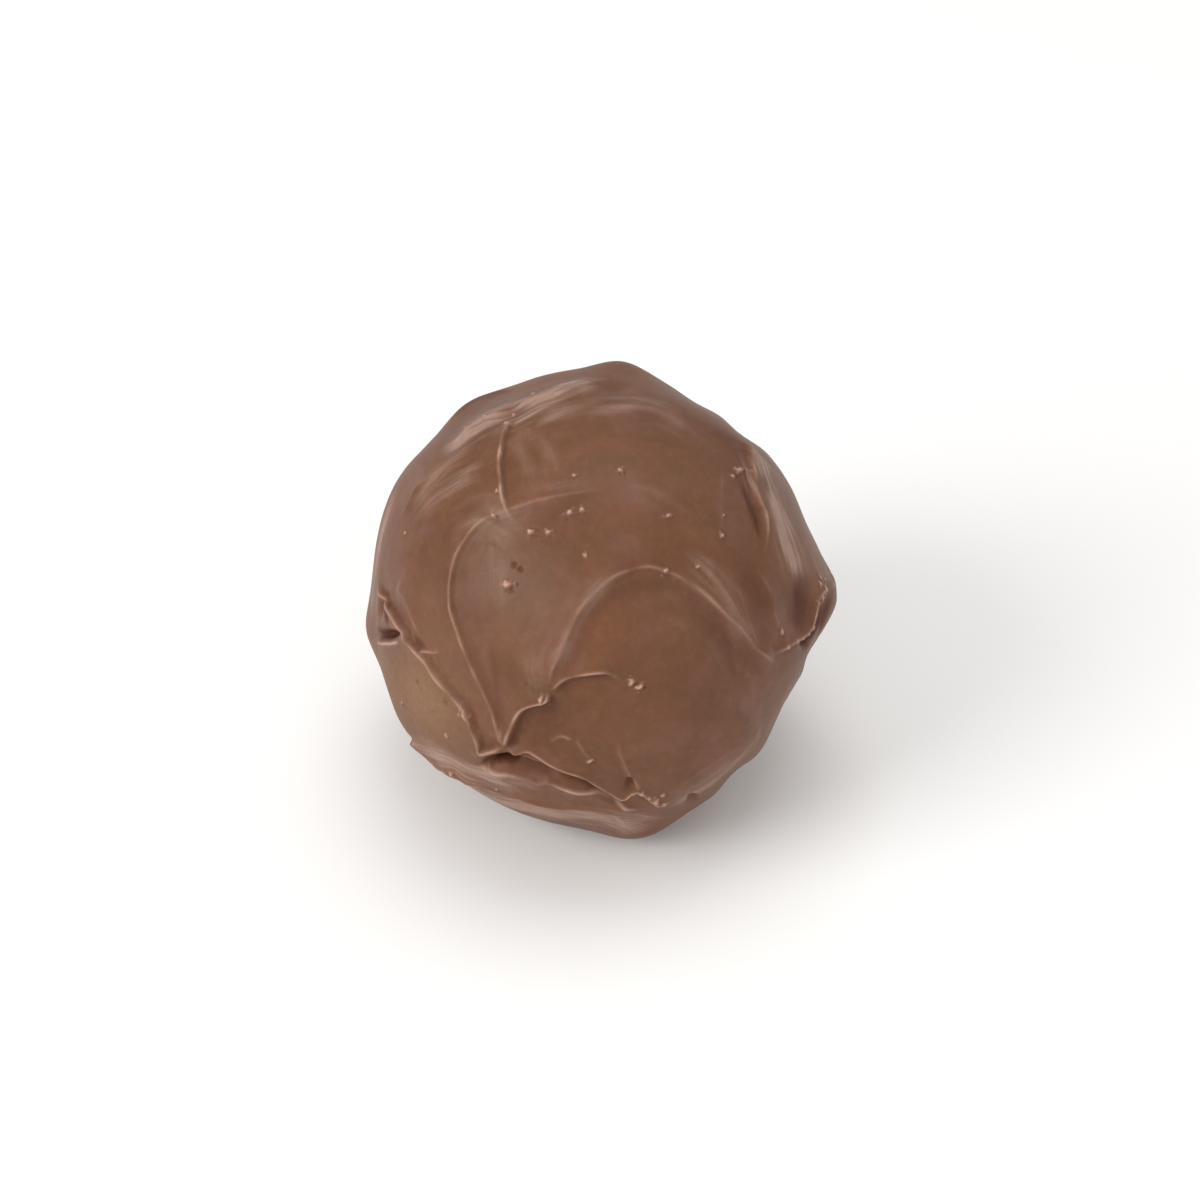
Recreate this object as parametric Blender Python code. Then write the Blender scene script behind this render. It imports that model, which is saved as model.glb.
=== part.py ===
"""A hand-rolled milk chocolate bonbon, 30 mm across.

The bonbon is a ball of chocolate that was rolled between two palms while its coat was still soft,
so thin crests, lips and creases run over it where the chocolate was dragged and folded. It stands
on the small flat spot that it set on. The origin is the middle of that spot, and +Z is up.
"""

import math

import bmesh
import bpy
import numpy as np
from mathutils import Vector, noise

# Millimetres, until the mesh is written in metres
MM = 0.001
BALL_RADIUS = 14.55
FOOT_RADIUS = 6.5
FOOT_DEPTH = math.sqrt(BALL_RADIUS**2 - FOOT_RADIUS**2)
FOOT_SNAP = 0.03
EYE_DISTANCE = 214.0
PATH_STEP = 0.25

# How round and how steep a crest is, the least width of a side of it, and the trough beside it
CREST_ROUNDING = 0.08
CREST_SHARPNESS = 1.2
NARROWEST = 0.26
TROUGH_START = 0.35
TROUGH_WIDTH = 1.1

# How many widths a crest or crease reaches, and how softly crests that cross run into each other
REACH = 3.2
SOFT_MAXIMUM = 3.0

# A ball of BALL_SUBDIVISIONS, with faces half as large within FINE_REACH of a crest or crease, and
# thinned to TRIANGLES where the surface is smooth
BALL_SUBDIVISIONS = 7
FINE_REACH = 0.6
TRIANGLES = 10500

# Small unevenness of the coat: depth in mm and length of the waves in mm
WAVES = [(0.10, 7.0), (0.035, 2.6)]

# Each face is where the eye stands: degrees round the bonbon from the front, and degrees up.
# A place on a face is (across, up) in mm from the ball's centre, as that eye sees it.
FACES = {
    "front": (0.0, 40.0),
    "back": (180.0, -5.0),
    "left": (-105.0, -20.0),
    "right": (105.0, -20.0),
}

# Lumps and hollows round the rim of the front face: degrees round it, height, width round the rim,
# and width over the rim, which is larger for a hollow, because the ball would hide a small one
RIM_LUMPS = [
    (1, 0.5, 1.4, 2.0),
    (20, -0.3, 2.0, 6.0),
    (33, -0.35, 5.0, 7.0),
    (50, -0.65, 1.5, 6.0),
    (63, -0.6, 2.2, 6.0),
    (85, 0.8, 2.2, 2.4),
    (104, 0.3, 3.0, 3.0),
    (124, 0.65, 2.4, 2.4),
    (150, 0.5, 4.0, 4.0),
    (187, 0.5, 1.8, 2.0),
    (212, 0.35, 2.4, 3.0),
    (280, 0.9, 2.6, 2.6),
    (308, -0.5, 1.4, 5.0),
    (332, -1.15, 3.8, 7.0),
    (346, -0.6, 1.4, 4.0),
]

# Oval lumps and hollows, with their sizes as the face's eye sees them: face, across, up, height, half
# length, half width, and degrees that the length turns from across to up
SPOTS = {
    "fold_lobe": ("front", 9.3, 9.0, 0.35, 2.0, 1.0, 100),
    "hollow_cell": ("front", -3.6, -8.2, -0.35, 2.2, 1.6, 60),
    "arch_cell": ("front", 3.6, -4.2, -0.15, 4.0, 4.0, 0),
    "facet": ("front", -11.2, -6.8, 0.2, 3.4, 1.8, -55),
    "right_valley": ("front", 13.2, -0.9, -0.5, 1.6, 0.6, 78),
    "top_dimple": ("front", 0.9, 13.6, -0.25, 1.0, 0.5, 0),
    "junction_hole": ("front", -7.0, -10.35, -0.9, 0.55, 0.3, 20),
    "crest_hole": ("front", 13.25, -2.5, -0.9, 0.4, 0.2, 70),
    "crest_facet": ("front", 14.3, -1.2, -0.45, 0.8, 0.35, 80),
    "corner_hole": ("front", 5.95, -12.7, -0.45, 0.3, 0.22, 0),
    "prong_hole": ("front", 1.95, -11.75, -0.45, 0.45, 0.25, 55),
    "left_hole": ("front", -13.75, -2.3, -1.0, 0.7, 0.32, 0),
    "left_spike": ("front", -13.95, -0.4, -0.6, 0.6, 0.16, 78),
    "back_bulge": ("back", -6.0, 6.0, 0.35, 4.0, 4.0, 0),
    "back_shoulder": ("back", 6.5, -3.5, 0.3, 3.6, 3.6, 0),
    "back_hollow": ("back", 1.0, -8.0, -0.3, 3.0, 3.0, 0),
    "back_upper_hollow": ("back", 3.0, 8.0, -0.25, 3.4, 3.4, 0),
    "back_hole": ("back", -8.6, -7.6, -0.5, 0.5, 0.4, 0),
    "left_bulge": ("left", 0.5, 1.5, 0.35, 3.0, 3.0, 0),
    "left_hollow": ("left", -1.0, -7.0, -0.25, 2.4, 2.4, 0),
    "left_pit": ("left", 6.9, -5.6, -0.5, 0.5, 0.4, 0),
    "right_bulge": ("right", -2.0, 3.5, 0.3, 3.0, 3.0, 0),
    "right_hollow": ("right", 1.5, -5.0, 0.25, 2.6, 2.6, 0),
}

# Crests: face, height, width to the left and to the right of the way that the points run, depth of
# the trough beyond the narrower side, lengths over which it rises and falls at its ends, points
CRESTS = {
    "main_arch": ("front", 0.28, 1.4, 0.55, 0.08, 1.5, 2.0, [
        (-3.5, -5.8), (-2.9, -4.2), (-2.4, -3.1), (-1.35, -0.75), (0.15, 0.95), (2.0, 1.9), (3.5, 2.0),
        (5.0, 1.45), (6.5, 0.5), (7.8, -0.75), (8.9, -1.9), (9.9, -3.1), (10.9, -3.8), (11.5, -3.9)]),
    "left_swirl": ("front", 0.24, 0.3, 1.2, 0.08, 16.0, 1.5, [
        (4.0, 6.0), (2.0, 6.3), (0.1, 6.9), (-1.2, 6.9), (-4.5, 6.2), (-6.9, 5.4), (-8.15, 4.5),
        (-9.1, 3.0), (-9.5, 1.3), (-9.5, -0.4), (-8.7, -2.9), (-7.85, -4.8), (-6.9, -6.9),
        (-6.35, -8.6), (-6.1, -9.5)]),
    "small_arch": ("front", 0.32, 0.9, 0.2, 0.28, 0.8, 2.0, [
        (-3.2, -5.9), (-2.4, -5.15), (-1.15, -4.75), (0.15, -4.65), (0.95, -4.9), (1.7, -5.5)]),
    "ragged_edge": ("front", 0.4, 1.0, 0.2, 0.3, 0.8, 0.6, [
        (-6.1, -9.5), (-5.75, -8.3), (-5.2, -7.2), (-4.6, -6.75), (-3.5, -6.5), (-3.35, -5.9)]),
    "front_lip": ("front", 0.32, 0.8, 0.14, 0.0, 0.8, 1.0, [
        (-6.0, -9.3), (-5.45, -9.8), (-4.6, -9.75), (-3.9, -10.05), (-3.2, -10.4), (-2.3, -10.8),
        (-1.5, -11.05), (-0.8, -11.35), (-0.15, -11.75), (0.6, -12.25), (1.4, -12.6), (2.0, -12.3),
        (2.5, -12.2), (3.1, -12.65), (3.7, -13.0), (4.3, -13.1)]),
    "lower_lip": ("front", 0.34, 0.14, 1.2, 0.0, 0.6, 1.5, [
        (-7.5, -10.5), (-6.7, -10.9), (-5.8, -11.0), (-4.7, -11.3), (-3.9, -11.6), (-3.2, -11.55),
        (-2.2, -11.9), (-1.3, -12.15), (-0.3, -12.2), (0.6, -12.6), (1.5, -13.1), (2.6, -13.4)]),
    "bottom_roll": ("front", 0.26, 0.8, 0.35, 0.12, 2.0, 1.5, [
        (-6.4, -12.2), (-4.5, -12.8), (-2.6, -13.2), (-0.6, -13.3), (1.0, -13.65), (1.8, -14.3)]),
    "bottom_edge": ("front", 0.4, 0.9, 0.3, 0.0, 0.3, 2.5, [
        (-12.7, -9.3), (-11.8, -9.8), (-10.9, -10.2), (-9.3, -11.0), (-7.7, -11.8), (-6.4, -12.4)]),
    "left_lip": ("front", 0.28, 0.2, 1.6, 0.16, 1.5, 0.8, [
        (-14.3, 0.9), (-13.8, 0.0), (-13.2, -1.05), (-12.6, -2.05), (-12.4, -2.6), (-11.86, -3.1),
        (-11.4, -3.5), (-10.96, -4.0), (-10.5, -4.8), (-9.8, -5.6), (-9.2, -6.3), (-8.5, -7.2),
        (-8.2, -8.2), (-7.8, -9.0), (-7.6, -9.7), (-6.9, -9.55), (-6.15, -9.4)]),
    "left_second": ("front", 0.18, 0.8, 0.4, 0.0, 1.0, 1.0, [
        (-13.1, 1.0), (-12.6, 0.2), (-12.1, -0.9), (-11.7, -1.8), (-11.3, -2.6)]),
    "upper_left_fold": ("front", 0.34, 0.14, 1.0, 0.12, 1.0, 3.5, [
        (-5.4, 11.8), (-5.8, 11.2), (-6.2, 10.3), (-6.4, 9.2), (-6.35, 7.8), (-6.2, 6.4), (-5.9, 5.5),
        (-5.3, 4.7)]),
    "top_left_roll": ("front", 0.4, 1.4, 0.6, 0.08, 2.0, 4.0, [
        (-9.5, 9.9), (-8.5, 10.6), (-7.5, 11.3), (-6.5, 11.8), (-5.4, 12.3), (-3.5, 12.9), (-1.2, 13.6),
        (0.6, 14.3)]),
    "left_sweep": ("front", 0.16, 1.0, 0.35, 0.05, 2.0, 2.0, [
        (-12.8, 5.2), (-12.3, 6.0), (-11.6, 7.2), (-10.7, 7.9), (-9.6, 8.4), (-8.3, 8.9)]),
    "right_fold": ("front", 0.3, 2.2, 0.18, 0.06, 1.0, 3.0, [
        (9.2, 10.1), (9.4, 9.4), (9.5, 8.4), (9.75, 7.5), (10.0, 6.4), (10.4, 5.6), (10.55, 4.7),
        (10.6, 3.9), (10.5, 2.6)]),
    "fold_ledge": ("front", 0.16, 0.2, 0.3, 0.0, 0.4, 0.4, [
        (8.7, 8.35), (9.1, 8.25), (9.5, 8.0), (9.85, 7.5)]),
    "right_crest": ("front", 0.55, 0.3, 1.0, 0.1, 0.8, 1.2, [
        (14.5, 0.9), (14.2, 0.25), (13.95, -0.7), (13.9, -1.65), (13.4, -2.05), (12.6, -2.5),
        (11.7, -3.15), (11.1, -3.65)]),
    "lower_right": ("front", 0.2, 1.3, 1.3, 0.0, 1.0, 3.0, [
        (10.6, -8.6), (9.6, -9.3), (8.4, -9.6), (6.8, -10.6), (5.7, -11.4), (4.7, -12.3), (4.1, -13.1)]),
    "stem": ("front", 0.26, 0.22, 0.22, 0.0, 0.6, 0.3, [(-6.35, -8.0), (-6.2, -8.8), (-6.05, -9.5)]),
    "prong": ("front", 0.16, 0.9, 0.25, 0.06, 3.0, 0.5, [
        (1.0, -8.6), (1.3, -9.8), (1.7, -10.8), (2.2, -11.6), (2.6, -12.2)]),
    "streak_inner": ("front", 0.12, 0.5, 0.5, 0.0, 1.0, 1.0, [(8.7, 1.2), (9.3, -1.0), (10.0, -3.1)]),
    "streak_outer": ("front", 0.14, 0.5, 0.5, 0.0, 1.0, 1.0, [
        (10.0, 2.1), (10.9, 0.4), (11.2, -1.0), (11.6, -2.1)]),
    "back_arch": ("back", 0.38, 1.9, 0.35, 0.14, 2.0, 3.0, [
        (-8.5, -6.0), (-7.9, -2.6), (-5.6, 1.2), (-1.7, 3.5), (2.6, 3.2), (5.8, 0.8), (7.6, -2.8)]),
    "back_inner_arch": ("back", 0.28, 0.9, 0.2, 0.2, 1.0, 2.5, [
        (-8.2, -5.0), (-6.4, -3.9), (-3.9, -3.4), (-1.6, -3.9), (-0.2, -5.2)]),
    "back_ragged": ("back", 0.32, 0.8, 0.2, 0.2, 0.8, 0.8, [
        (-8.8, -8.0), (-8.5, -7.0), (-7.7, -6.2), (-7.5, -5.2), (-8.1, -4.6)]),
    "back_lip": ("back", 0.3, 1.0, 0.2, 0.06, 1.5, 3.0, [
        (-10.4, -6.9), (-8.8, -8.0), (-6.6, -8.2), (-4.2, -8.9), (-1.4, -9.2), (1.2, -9.8), (3.4, -9.2),
        (6.0, -8.9), (8.4, -7.6), (10.2, -5.4)]),
    "back_under_lip": ("back", 0.26, 0.2, 1.6, 0.0, 1.5, 2.0, [
        (-8.4, -9.0), (-5.6, -9.6), (-2.6, -10.2), (0.4, -10.8), (3.8, -10.2)]),
    "back_sweep": ("back", 0.22, 0.3, 1.4, 0.08, 3.0, 5.0, [
        (-11.8, 0.2), (-10.4, 4.6), (-7.4, 7.6), (-2.8, 9.6), (2.2, 9.4), (6.8, 7.6), (8.6, 5.4)]),
    "back_fold": ("back", 0.38, 1.5, 0.28, 0.2, 1.5, 3.0, [
        (8.0, 9.6), (8.9, 6.6), (8.5, 3.6), (10.0, 0.4), (11.6, -2.4)]),
    "back_thread": ("back", 0.15, 0.3, 0.3, 0.0, 1.0, 2.0, [
        (2.4, 8.4), (3.6, 6.6), (3.2, 4.6), (4.4, 2.6)]),
    "left_arch": ("left", 0.35, 1.6, 0.32, 0.14, 2.0, 4.0, [
        (-6.8, -5.2), (-6.2, -1.4), (-3.6, 1.8), (0.4, 2.7), (3.8, 1.4), (6.2, -1.8)]),
    "left_under": ("left", 0.36, 1.2, 0.25, 0.15, 2.0, 3.0, [
        (-9.4, -6.0), (-5.4, -7.8), (-0.6, -7.9), (4.4, -7.2), (8.2, -4.8)]),
    "left_thread": ("left", 0.16, 0.4, 0.25, 0.0, 1.0, 2.0, [
        (-2.6, -6.9), (-1.6, -4.4), (-2.0, -1.8), (-0.6, 0.6)]),
    "right_arch": ("right", 0.35, 1.7, 0.32, 0.14, 2.0, 4.0, [
        (-7.4, -3.8), (-5.2, 0.2), (-1.2, 2.4), (3.2, 1.8), (6.2, -1.2), (7.2, -4.6)]),
    "right_under": ("right", 0.36, 1.3, 0.25, 0.15, 2.0, 3.0, [
        (-8.8, -6.2), (-4.8, -7.6), (0.2, -8.3), (4.9, -7.6), (8.4, -6.0)]),
    "right_thread": ("right", 0.16, 0.25, 0.5, 0.0, 2.0, 2.0, [
        (-6.0, 7.2), (-3.2, 6.2), (-0.4, 6.8), (2.6, 5.6), (5.4, 5.9)]),
}

# Creases: face, depth, half width, how flat the floor is, points
CREASES = {
    "lip_hollow": ("front", 1.0, 0.48, 4.0, [
        (-6.9, -10.2), (-6.3, -10.15), (-5.5, -10.35), (-4.3, -10.75), (-3.2, -11.05), (-2.0, -11.4),
        (-1.0, -11.75)]),
    "lip_crease": ("front", 0.6, 0.22, 2.0, [
        (-2.4, -11.35), (-1.3, -11.7), (-0.4, -12.0), (0.4, -12.4), (1.3, -12.95), (2.0, -13.2)]),
    "fold_crease": ("front", 0.18, 0.15, 2.0, [
        (9.1, 7.4), (9.45, 6.9), (9.8, 6.1), (10.1, 5.3), (10.25, 4.4), (10.3, 3.6)]),
    "arch_trough": ("front", 0.12, 0.8, 2.0, [
        (4.0, 0.7), (5.6, 0.2), (7.2, -1.4), (8.2, -2.9), (8.6, -4.4), (8.7, -6.2)]),
    "back_crease": ("back", 0.45, 0.3, 2.0, [
        (-8.6, -8.4), (-6.4, -8.7), (-4.0, -9.4), (-1.2, -9.7), (1.2, -10.3), (3.6, -9.7)]),
    "back_fold_crease": ("back", 0.45, 0.35, 2.0, [(8.2, 7.4), (8.1, 5.0), (8.0, 3.0), (9.3, 0.6)]),
    "left_crease": ("left", 0.45, 0.4, 2.0, [(-7.8, -7.6), (-4.0, -8.7), (0.4, -8.8), (4.6, -8.0)]),
    "right_crease": ("right", 0.45, 0.4, 2.0, [(-6.8, -7.9), (-2.2, -9.0), (2.4, -9.0), (6.0, -8.0)]),
}

MILK_CHOCOLATE = (0.190, 0.092, 0.054, 1.0)
CHOCOLATE_ROUGHNESS = 0.42


def clear_scene():
    for old in list(bpy.data.objects):
        bpy.data.objects.remove(old)


def face_axes(face):
    """The directions right, up and towards the eye of a face."""
    round_it, tilt = (math.radians(angle) for angle in FACES[face])
    right = np.array([math.cos(round_it), math.sin(round_it), 0.0])
    towards_eye = np.array([
        math.sin(round_it) * math.cos(tilt), -math.cos(round_it) * math.cos(tilt), math.sin(tilt)])
    return right, np.cross(towards_eye, right), towards_eye


def on_ball(face, across, up):
    """The point of the ball that the eye in front of a face sees at (across, up)."""
    right, upward, towards_eye = face_axes(face)
    slant = across**2 + up**2 + EYE_DISTANCE**2
    beyond = slant * (EYE_DISTANCE**2 - BALL_RADIUS**2)
    share = (EYE_DISTANCE**2 - math.sqrt(max(EYE_DISTANCE**4 - beyond, 0.0))) / slant
    point = share * (across * right + up * upward) + EYE_DISTANCE * (1.0 - share) * towards_eye
    return BALL_RADIUS * point / np.linalg.norm(point)


def on_rim(degrees):
    """A point on the rim of the front face, degrees round it from the right."""
    right, upward, _ = face_axes("front")
    turn = math.radians(degrees)
    return BALL_RADIUS * (math.cos(turn) * right + math.sin(turn) * upward)


def smooth_path(face, places):
    """Points on the ball along a Catmull-Rom curve through the places, PATH_STEP apart."""
    knots = [on_ball(face, *place) for place in places]
    knots = [2 * knots[0] - knots[1], *knots, 2 * knots[-1] - knots[-2]]
    points = []
    for before, start, end, after in zip(knots, knots[1:], knots[2:], knots[3:]):
        steps = max(2, round(np.linalg.norm(end - start) / PATH_STEP))
        for t in np.arange(steps) / steps:
            points.append(0.5 * (2 * start + (end - before) * t
                                 + (2 * before - 5 * start + 4 * end - after) * t**2
                                 + (3 * start - 3 * end + after - before) * t**3))
    points.append(knots[-2])
    points = np.array(points)
    return BALL_RADIUS * points / np.linalg.norm(points, axis=1)[:, None]


def along_and_across(ball_points, path):
    """For each ball point: the way along the path in mm, and the way across it, left of it positive."""
    tangents = np.gradient(path, axis=0)
    tangents /= np.linalg.norm(tangents, axis=1)[:, None]
    leftwards = np.cross(path / BALL_RADIUS, tangents)
    walked = np.concatenate([[0.0], np.cumsum(np.linalg.norm(np.diff(path, axis=0), axis=1))])
    nearest = np.argmax(ball_points @ path.T, axis=1)
    offset = ball_points - path[nearest]
    along = walked[nearest] + np.einsum("ij,ij->i", offset, tangents[nearest])
    across = np.einsum("ij,ij->i", offset, leftwards[nearest])
    return along, across, walked[-1]


def smooth_step(share):
    share = np.clip(share, 0.0, 1.0)
    return share * share * (3.0 - 2.0 * share)


def close_to(ball_points, path, reach):
    middle = path.mean(axis=0)
    spread = np.linalg.norm(path - middle, axis=1).max()
    return np.linalg.norm(ball_points - middle, axis=1) < spread + reach


def crest_height(ball_points, face, height, left_width, right_width, trough, fade_in, fade_out, places):
    """A drawn-out crest that falls away at its own rate on each side, and the trough beside it."""
    path = smooth_path(face, places)
    rise, fall = np.zeros((2, len(ball_points)))
    widest = max(left_width, right_width)
    chosen = close_to(ball_points, path, REACH * widest)
    along, across, length = along_and_across(ball_points[chosen], path)
    fade = smooth_step(along / fade_in) * smooth_step((length - along) / fade_out)
    width = np.maximum(np.where(across > 0.0, left_width, right_width), NARROWEST)
    beside = np.abs(across)
    from_line = np.sqrt(across**2 + CREST_ROUNDING**2) - CREST_ROUNDING
    rise[chosen] = height * fade * np.exp(-((from_line / width) ** CREST_SHARPNESS))
    low_side = (across < 0.0) == (right_width < left_width)
    trough_profile = np.exp(-(beside / TROUGH_WIDTH) ** 2) * smooth_step(beside / TROUGH_START)
    fall[chosen] = trough * fade * low_side * trough_profile
    return rise, fall


def crease_depth(ball_points, face, depth, half_width, flatness, places):
    path = smooth_path(face, places)
    fall = np.zeros(len(ball_points))
    chosen = close_to(ball_points, path, REACH * half_width)
    along, across, length = along_and_across(ball_points[chosen], path)
    fade_length = 0.25 * length
    fade = smooth_step(along / fade_length) * smooth_step((length - along) / fade_length)
    fall[chosen] = depth * fade * np.exp(-(np.abs(across / half_width) ** flatness))
    return fall


def spot_height(ball_points, face, across, up, height, half_length, half_width, degrees):
    """An oval lump or hollow, on the side of the ball that the face's eye sees."""
    right, upward, towards_eye = face_axes(face)
    towards = ball_points @ towards_eye
    larger = EYE_DISTANCE / (EYE_DISTANCE - towards)
    sideways = ball_points @ right * larger - across
    upwards = ball_points @ upward * larger - up
    turn = math.radians(degrees)
    lengthways = (sideways * math.cos(turn) + upwards * math.sin(turn)) / half_length
    crossways = (upwards * math.cos(turn) - sideways * math.sin(turn)) / half_width
    return height * np.exp(-lengthways**2 - crossways**2) * (towards > 0.0)


def rim_lump_height(ball_points, degrees, height, width_round, width_over):
    """A lump or hollow on the rim of the front face, with a width of its own along the view."""
    _, _, towards_eye = face_axes("front")
    offset = ball_points - on_rim(degrees)
    over = offset @ towards_eye
    round_it = np.sqrt(np.maximum(np.einsum("ij,ij->i", offset, offset) - over**2, 0.0))
    return height * np.exp(-(round_it / width_round) ** 2 - (over / width_over) ** 2)


def coat_waves(ball_points):
    """The slight unevenness of a coat that set while it was handled."""
    rise = np.zeros(len(ball_points))
    for depth, length in WAVES:
        rise += [depth * noise.noise(Vector(point) / length) for point in ball_points]
    return rise


def surface_height(ball_points):
    """How far the chocolate stands above the plain ball at each of its points."""
    rises, falls = zip(*(crest_height(ball_points, *crest) for crest in CRESTS.values()))
    height = sum(rise**SOFT_MAXIMUM for rise in rises) ** (1.0 / SOFT_MAXIMUM) - sum(falls)
    for crease in CREASES.values():
        height -= crease_depth(ball_points, *crease)
    for lump in RIM_LUMPS:
        height += rim_lump_height(ball_points, *lump)
    for spot in SPOTS.values():
        height += spot_height(ball_points, *spot)
    return height + coat_waves(ball_points)


def refine(shape):
    """Splits the ball's faces close to the crests and creases, where the surface turns sharply."""
    ball_points = np.array([vert.co for vert in shape.verts], dtype=float)
    near = np.zeros(len(ball_points), dtype=bool)
    for face, *_, places in [*CRESTS.values(), *CREASES.values()]:
        for mark in smooth_path(face, places):
            near |= np.linalg.norm(ball_points - mark, axis=1) < FINE_REACH
    shape.verts.index_update()
    edges = [edge for edge in shape.edges if near[edge.verts[0].index] and near[edge.verts[1].index]]
    bmesh.ops.subdivide_edges(shape, edges=edges, cuts=1, use_grid_fill=True)
    bmesh.ops.triangulate(shape, faces=shape.faces)
    for vert in shape.verts:
        vert.co = vert.co.normalized() * BALL_RADIUS


def rolled_ball():
    """The whole uneven ball, round the origin, with far more faces than it keeps."""
    shape = bmesh.new()
    bmesh.ops.create_icosphere(shape, subdivisions=BALL_SUBDIVISIONS, radius=BALL_RADIUS)
    refine(shape)
    ball_points = np.array([vert.co for vert in shape.verts], dtype=float)
    height = surface_height(ball_points)
    for vert, rise in zip(shape.verts, height):
        vert.co *= 1.0 + rise / BALL_RADIUS
    return shape


def thin(shape, triangles):
    """Leaves few faces on the smooth stretches of the shape, and keeps its crests."""
    mesh = bpy.data.meshes.new("rolled")
    shape.to_mesh(mesh)
    rolled = bpy.data.objects.new("rolled", mesh)
    bpy.context.scene.collection.objects.link(rolled)
    thinning = rolled.modifiers.new("thinning", "DECIMATE")
    thinning.ratio = triangles / len(mesh.polygons)
    evaluated = rolled.evaluated_get(bpy.context.evaluated_depsgraph_get())
    shape.clear()
    shape.from_mesh(evaluated.to_mesh())
    evaluated.to_mesh_clear()
    bpy.data.objects.remove(rolled)
    bpy.data.meshes.remove(mesh)


def cut_foot(shape):
    """Cuts the flat spot that the bonbon stands on."""
    whole = [*shape.verts, *shape.edges, *shape.faces]
    cut = bmesh.ops.bisect_plane(
        shape, geom=whole, dist=FOOT_SNAP, plane_co=(0, 0, -FOOT_DEPTH), plane_no=(0, 0, -1),
        use_snap_center=True, clear_outer=True)
    rim = [edge for edge in cut["geom_cut"] if isinstance(edge, bmesh.types.BMEdge)]
    foot = bmesh.ops.contextual_create(shape, geom=rim)
    bmesh.ops.triangulate(shape, faces=foot["faces"])


def flatten_foot(shape):
    """Sets the foot's rim level again after the thinning, which may have shifted it slightly."""
    for vert in shape.verts:
        if vert.co.z < -FOOT_DEPTH + FOOT_SNAP:
            vert.co.z = -FOOT_DEPTH


def stand_on_origin(shape):
    """Moves the shape so that the middle of its box's underside is the origin, in metres."""
    places = np.array([vert.co for vert in shape.verts])
    low, high = places.min(axis=0), places.max(axis=0)
    middle = Vector(((low[0] + high[0]) / 2, (low[1] + high[1]) / 2, low[2]))
    bmesh.ops.translate(shape, verts=shape.verts, vec=-middle)
    bmesh.ops.scale(shape, verts=shape.verts, vec=(MM, MM, MM))


def milk_chocolate():
    material = bpy.data.materials.new("milk_chocolate")
    material.use_nodes = True
    shader = material.node_tree.nodes["Principled BSDF"]
    shader.inputs["Base Color"].default_value = MILK_CHOCOLATE
    shader.inputs["Roughness"].default_value = CHOCOLATE_ROUGHNESS
    shader.inputs["Metallic"].default_value = 0.0
    return material


def make_bonbon():
    shape = rolled_ball()
    cut_foot(shape)
    thin(shape, TRIANGLES)
    flatten_foot(shape)
    stand_on_origin(shape)
    bmesh.ops.triangulate(shape, faces=shape.faces)
    bmesh.ops.recalc_face_normals(shape, faces=shape.faces)
    mesh = bpy.data.meshes.new("bonbon")
    shape.to_mesh(mesh)
    shape.free()
    mesh.shade_smooth()
    mesh.set_sharp_from_angle(angle=math.radians(60.0))
    mesh.materials.append(milk_chocolate())
    bonbon = bpy.data.objects.new("bonbon", mesh)
    bpy.context.scene.collection.objects.link(bonbon)


clear_scene()
make_bonbon()
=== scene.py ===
import math

import bmesh
import bpy
import numpy as np
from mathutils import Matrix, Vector, noise


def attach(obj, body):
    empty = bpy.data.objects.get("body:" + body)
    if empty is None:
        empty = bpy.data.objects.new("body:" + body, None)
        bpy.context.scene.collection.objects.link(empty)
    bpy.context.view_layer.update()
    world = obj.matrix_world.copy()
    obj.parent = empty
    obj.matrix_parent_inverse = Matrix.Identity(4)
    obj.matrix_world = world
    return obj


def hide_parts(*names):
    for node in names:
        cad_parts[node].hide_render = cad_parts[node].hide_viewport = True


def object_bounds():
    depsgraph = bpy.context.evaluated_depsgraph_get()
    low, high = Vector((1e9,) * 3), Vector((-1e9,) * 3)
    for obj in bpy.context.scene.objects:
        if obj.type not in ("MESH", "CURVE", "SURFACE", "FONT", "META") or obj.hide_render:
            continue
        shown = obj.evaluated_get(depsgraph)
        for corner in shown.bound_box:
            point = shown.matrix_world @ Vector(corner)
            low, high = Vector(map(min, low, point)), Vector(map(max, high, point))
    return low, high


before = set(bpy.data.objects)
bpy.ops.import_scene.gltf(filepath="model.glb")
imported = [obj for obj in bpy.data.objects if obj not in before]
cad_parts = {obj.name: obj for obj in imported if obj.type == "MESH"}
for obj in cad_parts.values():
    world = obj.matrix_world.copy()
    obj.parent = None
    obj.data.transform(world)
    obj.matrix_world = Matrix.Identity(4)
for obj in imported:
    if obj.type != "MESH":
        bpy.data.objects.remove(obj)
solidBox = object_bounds()
print("frame loaded")

mm = 0.001  # the scene is in metres, and every size below is in millimetres


def linear(hexColour):
    # an sRGB hex value as a linear colour with alpha
    parts = [int(hexColour[i:i + 2], 16) / 255 for i in (1, 3, 5)]
    return [p / 12.92 if p <= 0.04045 else ((p + 0.055) / 1.055) ** 2.4 for p in parts] + [1.0]


def addNode(tree, kind, settings=None, links=None):
    # settings are properties, or values of sockets; links are sockets fed by other nodes' outputs;
    # a socket goes by its name or its number
    node = tree.nodes.new(kind)
    for name, value in (settings or {}).items():
        if isinstance(name, int) or name in node.inputs:
            node.inputs[name].default_value = value
        else:
            setattr(node, name, value)
    for name, source in (links or {}).items():
        tree.links.new(source, node.inputs[name])
    return node


# The view: the eye stands in front of the bonbon and looks down on it
view = {
    "tilt": 40.0,            # degrees above the floor
    "lens": 100.0,
    "sensor": 36.0,
    "frameWidth": 76.92,     # mm across the picture at the bonbon's middle
    "nearest": 1.0,
}
view["distance"] = view["frameWidth"] * view["lens"] / view["sensor"]


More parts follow.
